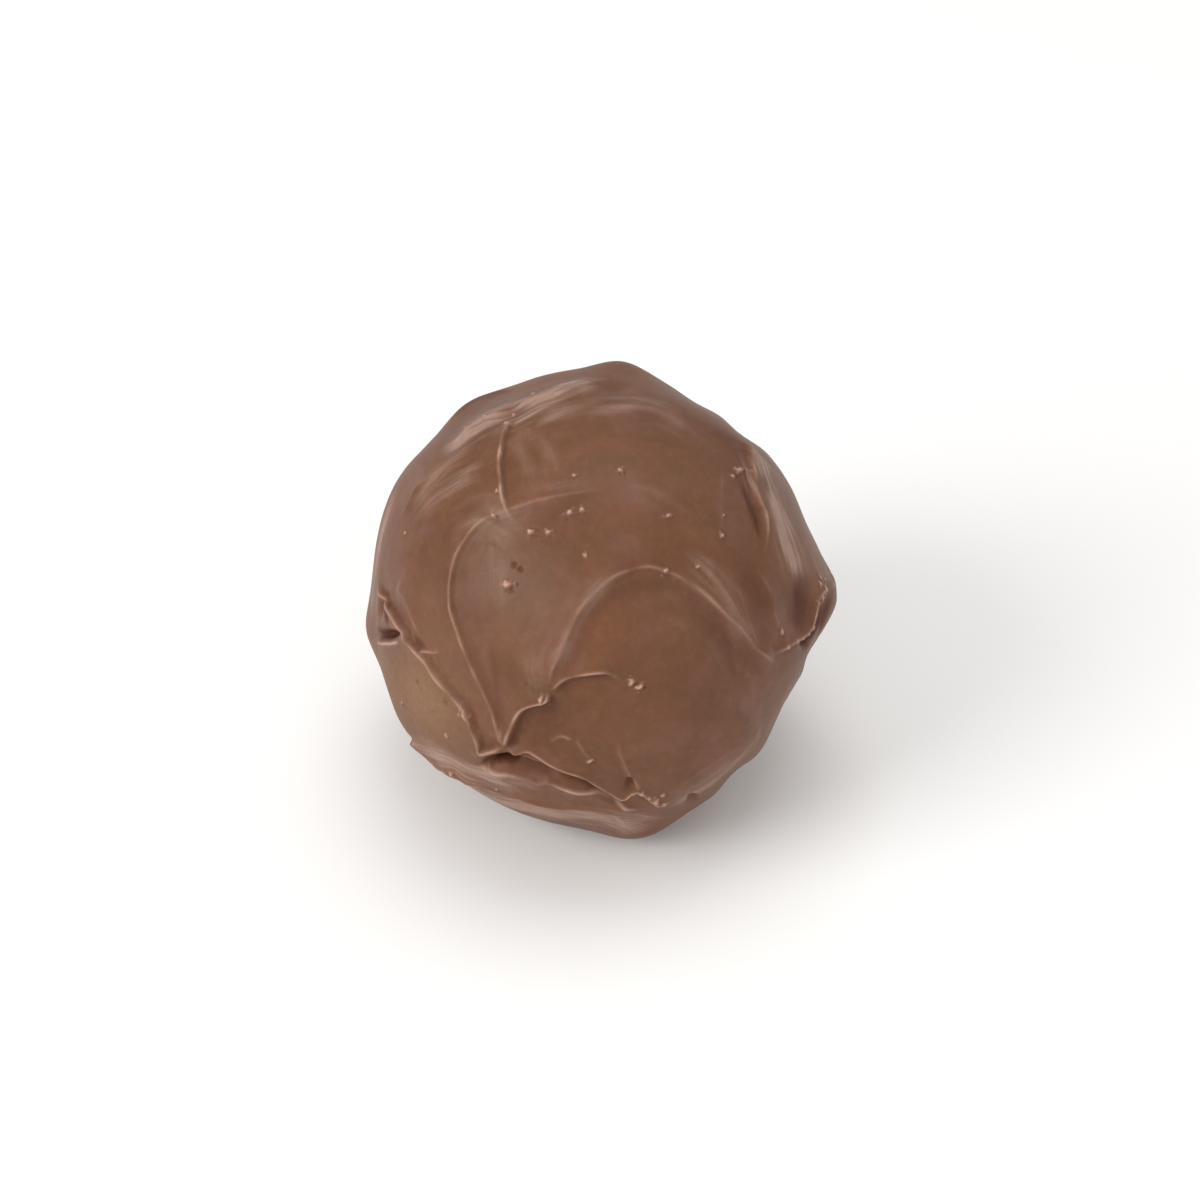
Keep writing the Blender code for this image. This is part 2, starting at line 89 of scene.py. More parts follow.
# The bonbon: a ball rolled between two palms while its coat was soft.
# A face is where an eye stands: degrees round the bonbon from the front, and degrees up.
# A place on a face is (across, up) from the ball's middle, as that eye sees it.
bonbonShape = {
    "radius": 14.55,
    "footRadius": 6.5,
    "footSnap": 0.02,
    "faces": {
        "front": (0.0, 40.0),
        "back": (180.0, -5.0),
        "left": (-105.0, -20.0),
        "right": (105.0, -20.0),
    },
    # degrees round the front face's rim, height, width round the rim, width over the rim
    "rimLumps": [
        (1, 0.50, 1.4, 2.0), (20, -0.30, 2.0, 6.0), (33, -0.35, 5.0, 7.0), (50, -0.65, 1.5, 6.0),
        (63, -0.60, 2.2, 6.0), (85, 0.80, 2.2, 2.4), (104, 0.30, 3.0, 3.0), (124, 0.65, 2.4, 2.4),
        (150, 0.50, 4.0, 4.0), (187, 0.50, 1.8, 2.0), (212, 0.35, 2.4, 3.0), (280, 0.90, 2.6, 2.6),
        (308, -0.50, 1.4, 5.0), (332, -1.15, 3.8, 7.0), (346, -0.60, 1.4, 4.0),
    ],
    # lumps and hollows: face, across, up, height, half length, half width, degrees of its turn
    "spots": {
        "foldLobe": ("front", 9.3, 9.0, 0.35, 2.0, 1.0, 100),
        "hollowCell": ("front", -3.6, -8.2, -0.35, 2.2, 1.6, 60),
        "archCell": ("front", 3.6, -4.2, -0.15, 4.0, 4.0, 0),
        "facet": ("front", -11.2, -6.8, 0.20, 3.4, 1.8, -55),
        "rightValley": ("front", 13.1, -0.9, -0.30, 1.7, 0.90, 78),
        "topDimple": ("front", 0.9, 13.6, -0.25, 1.0, 0.5, 0),
        "junctionHole": ("front", -7.0, -10.35, -0.90, 0.55, 0.30, 20),
        "crestHole": ("front", 13.6, -2.65, -0.90, 0.42, 0.22, 60),
        "crestFacet": ("right", -6.4, 5.5, -0.35, 1.2, 0.5, 53),
        "cornerHole": ("front", 5.95, -12.7, -0.45, 0.30, 0.22, 0),
        "prongHole": ("front", 1.95, -11.75, -0.45, 0.45, 0.25, 55),
        "leftHole": ("front", -13.45, -2.2, -0.85, 0.62, 0.26, 5),
        "leftSpike": ("front", -13.9, -0.4, -0.50, 0.60, 0.15, 82),
        "backBulge": ("back", -6.0, 6.0, 0.35, 4.0, 4.0, 0),
        "backShoulder": ("back", 6.5, -3.5, 0.30, 3.6, 3.6, 0),
        "backHollow": ("back", 1.0, -8.0, -0.30, 3.0, 3.0, 0),
        "backUpperHollow": ("back", 3.0, 8.0, -0.25, 3.4, 3.4, 0),
        "backHole": ("back", -8.6, -7.6, -0.50, 0.50, 0.40, 0),
        "leftBulge": ("left", 0.5, 1.5, 0.35, 3.0, 3.0, 0),
        "leftHollow": ("left", -1.0, -7.0, -0.25, 2.4, 2.4, 0),
        "leftPit": ("left", 6.9, -5.6, -0.50, 0.50, 0.40, 0),
        "rightBulge": ("right", -2.0, 3.5, 0.30, 3.0, 3.0, 0),
        "rightHollow": ("right", 1.5, -5.0, 0.25, 2.6, 2.6, 0),
    },
    # face, height, width to the left and to the right of the way that the points run, depth of the
    # trough beyond the narrower side, lengths over which it rises and falls at its ends, points
    "crests": {
        "mainArch": ("front", 0.36, 1.4, 0.50, 0.10, 1.5, 2.0, [
            (-3.5, -5.8), (-2.9, -4.2), (-2.4, -3.1), (-1.35, -0.75), (0.15, 0.95), (2.0, 1.9),
            (3.5, 2.0), (5.0, 1.45), (6.5, 0.5), (7.8, -0.75), (8.9, -1.9), (9.9, -3.1),
            (10.9, -3.8), (11.5, -3.9)]),
        "leftSwirl": ("front", 0.26, 0.30, 1.2, 0.08, 16.0, 1.5, [
            (4.0, 6.0), (2.0, 6.3), (0.1, 6.9), (-1.2, 6.9), (-4.5, 6.2), (-6.9, 5.4), (-8.15, 4.5),
            (-9.1, 3.0), (-9.5, 1.3), (-9.5, -0.4), (-8.7, -2.9), (-7.85, -4.8), (-6.9, -6.9),
            (-6.35, -8.6), (-6.1, -9.5)]),
        "smallArch": ("front", 0.32, 0.9, 0.20, 0.28, 0.8, 2.0, [
            (-3.2, -5.9), (-2.4, -5.15), (-1.15, -4.75), (0.15, -4.65), (0.95, -4.9), (1.7, -5.5)]),
        "raggedEdge": ("front", 0.40, 1.0, 0.20, 0.30, 0.8, 0.6, [
            (-6.1, -9.5), (-5.75, -8.3), (-5.2, -7.2), (-4.6, -6.75), (-3.5, -6.5), (-3.35, -5.9)]),
        "frontLip": ("front", 0.32, 0.8, 0.14, 0.02, 0.8, 1.0, [
            (-6.0, -9.3), (-5.45, -9.8), (-4.6, -9.75), (-3.9, -10.05), (-3.2, -10.4),
            (-2.3, -10.8), (-1.5, -11.05), (-0.8, -11.35), (-0.15, -11.75), (0.6, -12.25),
            (1.4, -12.6), (2.0, -12.3), (2.5, -12.2), (3.1, -12.65), (3.7, -13.0), (4.3, -13.1)]),
        "lowerLip": ("front", 0.34, 0.14, 1.2, 0.0, 0.6, 1.5, [
            (-7.5, -10.5), (-6.7, -10.9), (-5.8, -11.0), (-4.7, -11.3), (-3.9, -11.6),
            (-3.2, -11.55), (-2.2, -11.9), (-1.3, -12.15), (-0.3, -12.2), (0.6, -12.6),
            (1.5, -13.1), (2.6, -13.4)]),
        "bottomRoll": ("front", 0.26, 0.8, 0.35, 0.12, 2.0, 1.5, [
            (-6.4, -12.2), (-4.5, -12.8), (-2.6, -13.2), (-0.6, -13.3), (1.0, -13.65),
            (1.8, -14.3)]),
        "bottomEdge": ("front", 0.40, 0.9, 0.30, 0.0, 0.3, 2.5, [
            (-12.7, -9.3), (-11.8, -9.8), (-10.9, -10.2), (-9.3, -11.0), (-7.7, -11.8),
            (-6.4, -12.4)]),
        "leftLip": ("front", 0.28, 0.20, 1.6, 0.16, 1.5, 0.8, [
            (-14.3, 0.9), (-13.8, 0.0), (-13.2, -1.05), (-12.6, -2.05), (-12.4, -2.6),
            (-11.86, -3.1), (-11.4, -3.5), (-10.96, -4.0), (-10.5, -4.8), (-9.8, -5.6),
            (-9.2, -6.3), (-8.5, -7.2), (-8.2, -8.2), (-7.8, -9.0), (-7.6, -9.7), (-6.9, -9.55),
            (-6.15, -9.4)]),
        "leftSecond": ("front", 0.18, 0.8, 0.4, 0.0, 1.0, 1.0, [
            (-13.1, 1.0), (-12.6, 0.2), (-12.1, -0.9), (-11.7, -1.8), (-11.3, -2.6)]),
        "upperLeftFold": ("front", 0.27, 0.14, 1.0, 0.06, 1.4, 3.5, [
            (-5.4, 11.8), (-5.8, 11.2), (-6.2, 10.3), (-6.4, 9.2), (-6.35, 7.8), (-6.2, 6.4),
            (-5.9, 5.5), (-5.3, 4.7)]),
        "topLeftRoll": ("front", 0.40, 1.4, 0.6, 0.08, 2.0, 4.0, [
            (-9.5, 9.9), (-8.5, 10.6), (-7.5, 11.3), (-6.5, 11.8), (-5.4, 12.3), (-3.5, 12.9),
            (-1.2, 13.6), (0.6, 14.3)]),
        "leftSweep": ("front", 0.16, 1.0, 0.35, 0.05, 2.0, 2.0, [
            (-12.8, 5.2), (-12.3, 6.0), (-11.6, 7.2), (-10.7, 7.9), (-9.6, 8.4), (-8.3, 8.9)]),
        "rightFold": ("front", 0.34, 2.2, 0.24, 0.10, 1.0, 3.0, [
            (9.2, 10.1), (9.4, 9.4), (9.5, 8.4), (9.75, 7.5), (10.0, 6.4), (10.4, 5.6),
            (10.55, 4.7), (10.6, 3.9), (10.5, 2.6)]),
        "foldLedge": ("front", 0.16, 0.20, 0.30, 0.0, 0.4, 0.4, [
            (8.7, 8.35), (9.1, 8.25), (9.5, 8.0), (9.85, 7.5)]),
        "rightCrest": ("front", 0.55, 0.30, 1.0, 0.10, 0.8, 1.2, [
            (14.25, 0.9), (13.9, 0.25), (13.65, -0.7), (13.5, -1.6), (13.15, -2.15), (12.4, -2.65),
            (11.6, -3.15), (11.1, -3.65)]),
        "lowerRight": ("front", 0.20, 1.3, 1.3, 0.0, 1.0, 3.0, [
            (10.6, -8.6), (9.6, -9.3), (8.4, -9.6), (6.8, -10.6), (5.7, -11.4), (4.7, -12.3),
            (4.1, -13.1)]),
        "stem": ("front", 0.26, 0.22, 0.22, 0.0, 0.6, 0.3, [
            (-6.35, -8.0), (-6.2, -8.8), (-6.05, -9.5)]),
        "prong": ("front", 0.16, 0.9, 0.25, 0.06, 3.0, 0.5, [
            (1.0, -8.6), (1.3, -9.8), (1.7, -10.8), (2.2, -11.6), (2.6, -12.2)]),
        "streakInner": ("front", 0.12, 0.5, 0.5, 0.0, 1.0, 1.0, [
            (8.7, 1.2), (9.3, -1.0), (10.0, -3.1)]),
        "streakOuter": ("front", 0.14, 0.5, 0.5, 0.0, 1.0, 1.0, [
            (10.0, 2.1), (10.9, 0.4), (11.2, -1.0), (11.6, -2.1)]),
        "thinLine": ("front", 0.05, 0.2, 0.2, 0.0, 1.0, 1.0, [
            (7.75, 8.3), (7.8, 6.5), (7.8, 5.4), (7.8, 4.1)]),
        "curlLeft": ("front", 0.12, 0.25, 0.16, 0.0, 0.5, 0.5, [
            (-3.3, -9.3), (-2.9, -8.9), (-2.4, -8.75), (-1.9, -8.9), (-1.7, -9.1)]),
        "curlRight": ("front", 0.10, 0.25, 0.18, 0.0, 0.5, 0.5, [
            (-1.6, -8.9), (-1.1, -9.6), (-0.5, -10.3)]),
        "stringOuter": ("front", 0.20, 0.09, 0.09, 0.0, 0.2, 0.2, [
            (-14.1, -2.7), (-13.4, -2.75), (-12.7, -2.65)]),
        "stringInner": ("front", 0.16, 0.09, 0.09, 0.0, 0.2, 0.4, [
            (-11.5, -3.3), (-10.9, -3.35), (-10.2, -3.3)]),
        "backArch": ("back", 0.38, 1.9, 0.35, 0.14, 2.0, 3.0, [
            (-8.5, -6.0), (-7.9, -2.6), (-5.6, 1.2), (-1.7, 3.5), (2.6, 3.2), (5.8, 0.8),
            (7.6, -2.8)]),
        "backInnerArch": ("back", 0.28, 0.9, 0.20, 0.20, 1.0, 2.5, [
            (-8.2, -5.0), (-6.4, -3.9), (-3.9, -3.4), (-1.6, -3.9), (-0.2, -5.2)]),
        "backRagged": ("back", 0.32, 0.8, 0.20, 0.20, 0.8, 0.8, [
            (-8.8, -8.0), (-8.5, -7.0), (-7.7, -6.2), (-7.5, -5.2), (-8.1, -4.6)]),
        "backLip": ("back", 0.30, 1.0, 0.20, 0.06, 1.5, 3.0, [
            (-10.4, -6.9), (-8.8, -8.0), (-6.6, -8.2), (-4.2, -8.9), (-1.4, -9.2), (1.2, -9.8),
            (3.4, -9.2), (6.0, -8.9), (8.4, -7.6), (10.2, -5.4)]),
        "backUnderLip": ("back", 0.26, 0.20, 1.6, 0.0, 1.5, 2.0, [
            (-8.4, -9.0), (-5.6, -9.6), (-2.6, -10.2), (0.4, -10.8), (3.8, -10.2)]),
        "backSweep": ("back", 0.22, 0.3, 1.4, 0.08, 3.0, 5.0, [
            (-11.8, 0.2), (-10.4, 4.6), (-7.4, 7.6), (-2.8, 9.6), (2.2, 9.4), (6.8, 7.6),
            (8.6, 5.4)]),
        "backFold": ("back", 0.38, 1.5, 0.28, 0.20, 1.5, 3.0, [
            (8.0, 9.6), (8.9, 6.6), (8.5, 3.6), (10.0, 0.4), (11.6, -2.4)]),
        "backThread": ("back", 0.15, 0.3, 0.3, 0.0, 1.0, 2.0, [
            (2.4, 8.4), (3.6, 6.6), (3.2, 4.6), (4.4, 2.6)]),
        "leftArch": ("left", 0.35, 1.6, 0.32, 0.14, 2.0, 4.0, [
            (-6.8, -5.2), (-6.2, -1.4), (-3.6, 1.8), (0.4, 2.7), (3.8, 1.4), (6.2, -1.8)]),
        "leftUnder": ("left", 0.36, 1.2, 0.25, 0.15, 2.0, 3.0, [
            (-9.4, -6.0), (-5.4, -7.8), (-0.6, -7.9), (4.4, -7.2), (8.2, -4.8)]),
        "leftThread": ("left", 0.16, 0.4, 0.25, 0.0, 1.0, 2.0, [
            (-2.6, -6.9), (-1.6, -4.4), (-2.0, -1.8), (-0.6, 0.6)]),
        "rightArch": ("right", 0.35, 1.7, 0.32, 0.14, 2.0, 4.0, [
            (-7.4, -3.8), (-5.2, 0.2), (-1.2, 2.4), (3.2, 1.8), (6.2, -1.2), (7.2, -4.6)]),
        "rightUnder": ("right", 0.36, 1.3, 0.25, 0.15, 2.0, 3.0, [
            (-8.8, -6.2), (-4.8, -7.6), (0.2, -8.3), (4.9, -7.6), (8.4, -6.0)]),
        "rightThread": ("right", 0.16, 0.25, 0.5, 0.0, 2.0, 2.0, [
            (-6.0, 7.2), (-3.2, 6.2), (-0.4, 6.8), (2.6, 5.6), (5.4, 5.9)]),
    },
    # face, depth, half width, how flat its floor is, points
    "creases": {
        "lipHollow": ("front", 0.62, 0.46, 4.0, [
            (-6.9, -10.2), (-6.3, -10.15), (-5.5, -10.35), (-4.3, -10.75), (-3.2, -11.05),
            (-2.3, -11.3)]),
        "lipHole": ("front", 0.75, 0.30, 3.0, [
            (-7.3, -10.15), (-6.7, -10.2), (-6.0, -10.25), (-5.2, -10.6)]),
        "lipCrease": ("front", 0.45, 0.22, 2.0, [
            (-3.8, -10.9), (-2.4, -11.32), (-1.3, -11.68), (-0.4, -12.0), (0.4, -12.4),
            (1.3, -12.95), (2.0, -13.2)]),
        "foldCrease": ("front", 0.18, 0.15, 2.0, [
            (9.1, 7.4), (9.45, 6.9), (9.8, 6.1), (10.1, 5.3), (10.25, 4.4), (10.3, 3.6)]),
        "archTrough": ("front", 0.12, 0.80, 2.0, [
            (4.0, 0.7), (5.6, 0.2), (7.2, -1.4), (8.2, -2.9), (8.6, -4.4), (8.7, -6.2)]),
        "backCrease": ("back", 0.45, 0.30, 2.0, [
            (-8.6, -8.4), (-6.4, -8.7), (-4.0, -9.4), (-1.2, -9.7), (1.2, -10.3), (3.6, -9.7)]),
        "backFoldCrease": ("back", 0.45, 0.35, 2.0, [
            (8.2, 7.4), (8.1, 5.0), (8.0, 3.0), (9.3, 0.6)]),
        "leftCrease": ("left", 0.45, 0.40, 2.0, [
            (-7.8, -7.6), (-4.0, -8.7), (0.4, -8.8), (4.6, -8.0)]),
        "rightCrease": ("right", 0.45, 0.40, 2.0, [
            (-6.8, -7.9), (-2.2, -9.0), (2.4, -9.0), (6.0, -8.0)]),
    },
    # bands where the palm drew the chocolate out in fine lines, lighter with painted sheen, and
    # bands of
    # painted shade: face, depth of the lines, how much painted sheen (or painted shade, below
    # zero), half width of the band, width of a line, points
    "bands": {
        "foldBand": ("front", 0.035, 2.05, 1.15, 0.20, [
            (9.2, 9.9), (10.15, 7.9), (11.0, 6.0), (11.9, 4.2), (12.5, 2.6), (12.8, 1.0)]),
        "topLeftBand": ("front", 0.022, 1.50, 1.1, 0.24, [
            (-10.4, 9.2), (-8.8, 10.4), (-7.2, 11.3), (-5.6, 11.8), (-4.0, 12.6), (-2.4, 13.1),
            (0.0, 13.9)]),
        "upperBand": ("front", 0.006, 0.50, 1.3, 1.10, [
            (-5.6, 10.4), (-3.6, 11.8), (-0.5, 12.6), (3.0, 12.5), (6.5, 11.0)]),
        "foldTopBand": ("front", 0.004, 0.32, 1.1, 1.10, [
            (-5.4, 11.4), (-4.6, 10.0), (-3.8, 8.6), (-3.4, 7.4)]),
        "fanBand": ("front", 0.020, 0.75, 0.7, 0.22, [
            (-12.3, 5.6), (-11.0, 7.4), (-9.4, 8.9), (-7.8, 10.0)]),
        "sweepBand": ("front", 0.020, 0.60, 0.8, 0.22, [
            (-12.0, 5.0), (-10.8, 6.4), (-8.6, 7.8), (-7.0, 8.4)]),
        "swirlBand": ("front", 0.008, 0.14, 0.9, 0.60, [
            (-8.2, 4.9), (-4.5, 6.6), (-0.5, 7.4), (3.5, 6.8), (6.5, 4.6), (8.2, 2.6)]),
        "cellBand": ("front", 0.006, 0.25, 1.2, 1.00, [
            (-7.4, 4.9), (-7.1, 3.0), (-7.0, 1.0), (-7.1, -1.0)]),
        "cellTopBand": ("front", 0.006, 0.48, 1.3, 1.10, [
            (-9.4, 4.4), (-7.8, 5.2), (-6.2, 4.6), (-4.8, 3.4)]),
        "leftRimBand": ("front", 0.010, 0.90, 0.6, 0.20, [
            (-12.4, 7.4), (-13.4, 5.4), (-14.0, 3.6), (-14.35, 1.8), (-14.5, -0.2), (-14.4, -1.6)]),
        "columnBand": ("front", 0.008, 0.30, 0.8, 0.80, [
            (-4.0, -2.6), (-4.2, -4.2), (-4.1, -5.6), (-4.0, -6.6)]),
        "archRidge": ("front", 0.006, 0.45, 0.45, 0.80, [
            (-3.3, -5.4), (-2.9, -4.2), (-2.4, -3.1), (-1.35, -0.75), (0.15, 0.95), (2.0, 1.9)]),
        "archRidgeRight": ("front", 0.006, 0.45, 0.22, 0.50, [
            (3.5, 2.0), (5.0, 1.45), (6.5, 0.5), (7.8, -0.75), (8.9, -1.9), (9.9, -3.1),
            (10.9, -3.8)]),
        "archBand": ("front", 0.012, 0.50, 0.8, 0.45, [
            (5.0, 3.2), (6.8, 1.6), (8.1, 0.1), (9.0, -1.3), (10.0, -2.7)]),
        "rightRimBand": ("front", 0.010, 0.95, 0.8, 0.20, [
            (4.2, -13.4), (6.0, -12.3), (8.0, -10.9), (9.4, -9.4), (10.8, -8.0)]),
        "innerBand": ("front", 0.008, 0.15, 1.3, 0.70, [
            (3.0, 0.8), (6.0, -0.8), (8.0, -3.0), (9.2, -5.6), (9.8, -7.6)]),
        "edgeBand": ("front", 0.020, 1.30, 0.9, 0.22, [
            (-12.6, -8.6), (-11.4, -9.3), (-9.8, -10.1), (-8.2, -11.0), (-6.0, -11.6),
            (-4.4, -12.0)]),
        "bottomBand": ("front", 0.025, 2.00, 1.2, 0.18, [
            (-9.4, -11.6), (-6.4, -12.9), (-3.0, -13.6), (0.5, -14.1), (2.8, -14.3)]),
        "lipBand": ("front", 0.015, 0.70, 0.4, 0.30, [
            (-7.8, -10.7), (-6.6, -11.3), (-5.2, -11.6), (-3.6, -11.8)]),
        "holeShade": ("front", 0.0, -1.50, 0.36, 0.40, [
            (-14.3, -2.25), (-13.6, -2.2), (-12.8, -2.1)]),
        "spikeShade": ("front", 0.0, -1.20, 0.34, 0.40, [
            (-13.6, 0.2), (-13.5, -0.8), (-13.3, -1.8)]),
        "pitShade": ("front", 0.0, -0.90, 0.30, 0.40, [
            (-12.1, -2.5), (-11.6, -2.85), (-11.2, -3.3)]),
        "cellShade": ("front", 0.0, -0.25, 1.0, 0.60, [(-8.4, 1.8), (-7.7, -0.4), (-7.2, -2.6)]),
        "swirlShade": ("front", 0.0, -0.45, 0.35, 0.25, [
            (-6.9, -2.2), (-6.8, -3.8), (-6.65, -5.4), (-6.5, -7.0), (-6.3, -8.4)]),
        "lobeShade": ("front", 0.0, -0.75, 0.7, 0.30, [
            (-9.9, 10.9), (-8.6, 12.0), (-7.0, 12.8), (-5.6, 13.2)]),
        "archShade": ("front", 0.0, -0.30, 0.9, 0.50, [
            (-4.4, -6.0), (-4.2, -7.6), (-4.6, -8.8), (-4.4, -9.4)]),
        "innerShade": ("front", 0.0, -0.42, 0.65, 0.50, [
            (4.4, 0.9), (5.8, 0.0), (7.1, -1.3), (8.1, -2.7), (8.5, -4.2), (8.8, -5.8)]),
        "outerShade": ("front", 0.0, -0.42, 0.80, 0.60, [
            (8.8, 3.6), (9.5, 1.7), (10.1, -0.2), (10.8, -2.1)]),
        "valleyShade": ("front", 0.0, -1.10, 1.25, 0.60, [
            (12.5, 1.9), (12.8, 0.5), (12.8, -0.9), (12.3, -2.5)]),
        "wedgeShade": ("front", 0.0, -1.60, 0.65, 0.40, [
            (14.5, 0.5), (14.45, -0.4), (14.3, -1.2), (14.0, -2.0), (13.5, -2.8)]),
        "crestHoleShade": ("front", 0.0, -1.30, 0.28, 0.40, [
            (13.3, -2.5), (13.65, -2.65), (13.9, -2.9)]),
        "rimShade": ("front", 0.0, -0.40, 0.9, 0.60, [
            (6.2, 11.8), (7.6, 10.6), (8.5, 9.4), (8.9, 8.2), (8.8, 6.8)]),
        "foldShade": ("front", 0.0, -0.85, 0.42, 0.40, [
            (8.4, 8.1), (9.0, 7.5), (9.6, 6.2), (10.1, 4.9), (10.3, 3.8)]),
        "bottomShade": ("front", 0.0, -0.35, 0.35, 0.25, [
            (-5.4, -12.7), (-4.2, -13.1), (-2.6, -13.4), (-1.0, -13.6)]),
        "backBand": ("back", 0.015, 0.40, 1.4, 0.50, [
            (-10.0, 3.6), (-7.4, 6.6), (-3.6, 8.2), (1.0, 8.6), (5.6, 8.2)]),
        "backArchBand": ("back", 0.012, 0.35, 1.2, 0.55, [
            (-7.2, 1.8), (-3.0, 4.9), (2.2, 4.7), (6.2, 2.0)]),
        "backFoldBand": ("back", 0.025, 1.00, 1.1, 0.25, [
            (10.0, 7.6), (10.2, 4.4), (11.4, 1.2), (12.2, -1.6)]),
        "backLowBand": ("back", 0.012, 0.45, 1.1, 0.50, [
            (-9.4, -5.2), (-5.6, -7.2), (-1.0, -7.9), (3.6, -7.6), (7.6, -6.8)]),
        "leftBand": ("left", 0.012, 0.35, 1.2, 0.55, [
            (-6.6, 0.8), (-3.8, 3.6), (0.6, 4.5), (4.6, 3.2), (7.2, 0.4)]),
        "leftLowBand": ("left", 0.012, 0.50, 1.1, 0.40, [
            (-7.6, -5.6), (-3.4, -6.5), (1.4, -6.6), (5.6, -5.2)]),
        "rightBand": ("right", 0.012, 0.35, 1.2, 0.55, [
            (-6.4, 1.4), (-2.6, 4.0), (1.8, 4.2), (5.6, 2.0), (8.0, -1.2)]),
        "rightLowBand": ("right", 0.012, 0.50, 1.1, 0.40, [
            (-7.4, -5.4), (-2.6, -6.6), (2.4, -6.8), (6.6, -5.8)]),
        "facetShade": ("right", 0.0, -1.05, 0.90, 0.60, [
            (-7.5, 4.2), (-6.8, 5.0), (-6.0, 6.0), (-5.3, 6.9)]),
    },
    # bubbles and crumbs of chocolate, for each face: across, up, radius
    "crumbs": {
        "front": [
            (1.3, 8.3, 0.16), (-1.6, 7.95, 0.12), (-6.5, 6.9, 0.13), (-6.8, 5.4, 0.16),
            (-1.9, 5.6, 0.20), (-1.1, 5.8, 0.17), (-4.45, 4.35, 0.20), (-3.3, 4.35, 0.16),
            (-5.9, 0.95, 0.26), (-0.9, 2.85, 0.10), (4.4, 5.4, 0.16), (4.1, 1.8, 0.16),
            (6.2, 2.1, 0.13), (7.8, 4.1, 0.16), (7.9, 5.4, 0.12), (2.05, -5.35, 0.20),
            (2.6, -5.65, 0.22), (-3.7, -6.3, 0.24), (-0.6, -10.3, 0.14), (11.6, -2.05, 0.16),
            (-12.5, -6.5, 0.14), (-9.75, -8.6, 0.15), (-12.5, 4.3, 0.13), (-8.5, -7.3, 0.26),
            (14.1, 0.25, 0.24), (14.45, 0.6, 0.20), (13.7, -1.0, 0.16), (13.45, -1.85, 0.20),
            (12.8, -2.45, 0.16), (3.5, -12.7, 0.24), (4.1, -12.9, 0.22), (4.0, -12.4, 0.16),
            (-5.9, 11.2, 0.20), (-5.5, 11.8, 0.14), (-8.5, 10.9, 0.16), (-7.2, 11.5, 0.14),
            (-4.2, 13.0, 0.16), (8.8, 8.2, 0.22), (8.5, 7.9, 0.14), (-9.3, -10.9, 0.16),
            (-6.6, -12.1, 0.14), (13.9, 1.0, 0.18), (14.4, 1.3, 0.15), (14.35, 0.1, 0.18),
            (13.8, -0.3, 0.20), (13.62, -1.5, 0.15), (13.15, -2.2, 0.14), (12.4, -2.7, 0.13),
            (11.8, -3.0, 0.14), (13.95, 1.4, 0.14), (2.6, -12.2, 0.20), (3.1, -12.5, 0.16),
            (2.2, -12.4, 0.16)],
        "back": [
            (-8.2, -5.6, 0.22), (-7.7, -6.4, 0.18), (0.4, -5.4, 0.20), (1.0, -5.7, 0.18),
            (-3.4, 1.2, 0.16), (4.6, 6.2, 0.18), (5.2, 5.8, 0.15), (-1.8, 7.0, 0.15),
            (8.4, 6.6, 0.22), (2.8, -0.6, 0.14), (-5.4, 8.6, 0.16)],
        "left": [(-2.2, 0.6, 0.18), (1.6, 4.6, 0.16), (2.2, 4.2, 0.14), (-5.4, -5.9, 0.20)],
        "right": [
            (2.6, 3.6, 0.18), (3.2, 3.2, 0.14), (-3.0, 6.6, 0.16), (0.6, -1.2, 0.15),
            (5.4, -6.0, 0.20)],
    },
    # broken bubbles, in the same way
    "dimples": {
        "front": [
            (-5.5, 2.25, 0.17), (-5.1, 2.0, 0.17), (-11.5, -5.2, 0.16), (-9.7, -6.45, 0.18),
            (-10.5, -7.1, 0.14)],
    },
    # where the coat is dry and matte, as spots are given
    "matteFacets": [
        ("front", -11.0, -6.2, 0.7, 3.4, 1.9, -55),
    ],
    # the slight unevenness of the coat: depth, length of the waves
    "waves": [(0.10, 7.0), (0.035, 2.6), (0.012, 0.9)],
    "limbFade": 2.5,         # a spot ends this near to the rim of its face
    # painted shade in folds and hollows grows with their depth
    "darkDepth": 0.85,       # depth at which a fold is dark
    "matteStrength": 1.6,
    "fineReach": 0.70,       # round the crests and crumbs, where the mesh is twice as fine
    "finestReach": 0.20,     # round the crumbs and the front's crests, where it is finer again
    "bandMargin": 0.20,      # beside a band, where it is twice as fine too
    # how all marks of a kind are made
    "crestMaking": {
        "reach": 3.2,  # widths beyond which it is nothing
        "rounding": 0.30,  # of its narrower side's width
        "sharpness": 1.2,
        "merging": 3.0,  # higher keeps crests that meet apart
        "stray": (0.06, 1.3),  # how far it strays to its sides, and in what distance
        "uneven": (0.25, 1.1),  # by what share its height varies, and in what distance
        "troughStart": 0.35, "troughWidth": 1.1,
        "slender": 2.0,  # height over width at which its painted highlight and painted shadow are full
        "thinWidth": 0.09,  # half width of the painted highlight on its line
        "thinUsual": 0.7, "thinVaries": 0.9, "thinLeast": 0.2,
        "shade": 0.50,  # painted shadow below its steep side
        "shadePlace": 1.7, "shadeWidth": 0.8,  # in widths of that side
    },
    # the lines that the chocolate drew as it was dragged along a crest
    "dragMaking": {
        "depth": 0.030, "width": 0.55, "length": 9.0, "reach": 3.2,
        "ends": 1.6,  # reaches beyond which there are none
        "fullHeight": 0.35,  # height of a crest that has them at their full depth
    },
    "creaseMaking": {"reach": 3.2, "fade": 0.25},   # in half widths, and in its length
    "bandMaking": {
        "reach": 2.2,  # in half widths
        "fade": 2.0,  # at each end
        "fadeMost": 0.35,  # of its length
        "cloudLength": 2.6, "cloudWidth": 0.9,  # of its stronger and weaker places
        "paleClouds": 1.6, "darkClouds": 0.4, "cloudMost": 1.5,  # how much they vary
        "ragged": 0.9,  # share of its half width by which its edges are ragged
        "raggedLength": 3.2,
        "raggedLines": 1.6,  # in widths of a line
        "edgeSharpness": 2.4, "lineLength": 7.0,
        "shade": 0.7,  # how dark a band of -1 is
    },
    # sizes in the radius of the crumb or the dimple
    "crumbMaking": {
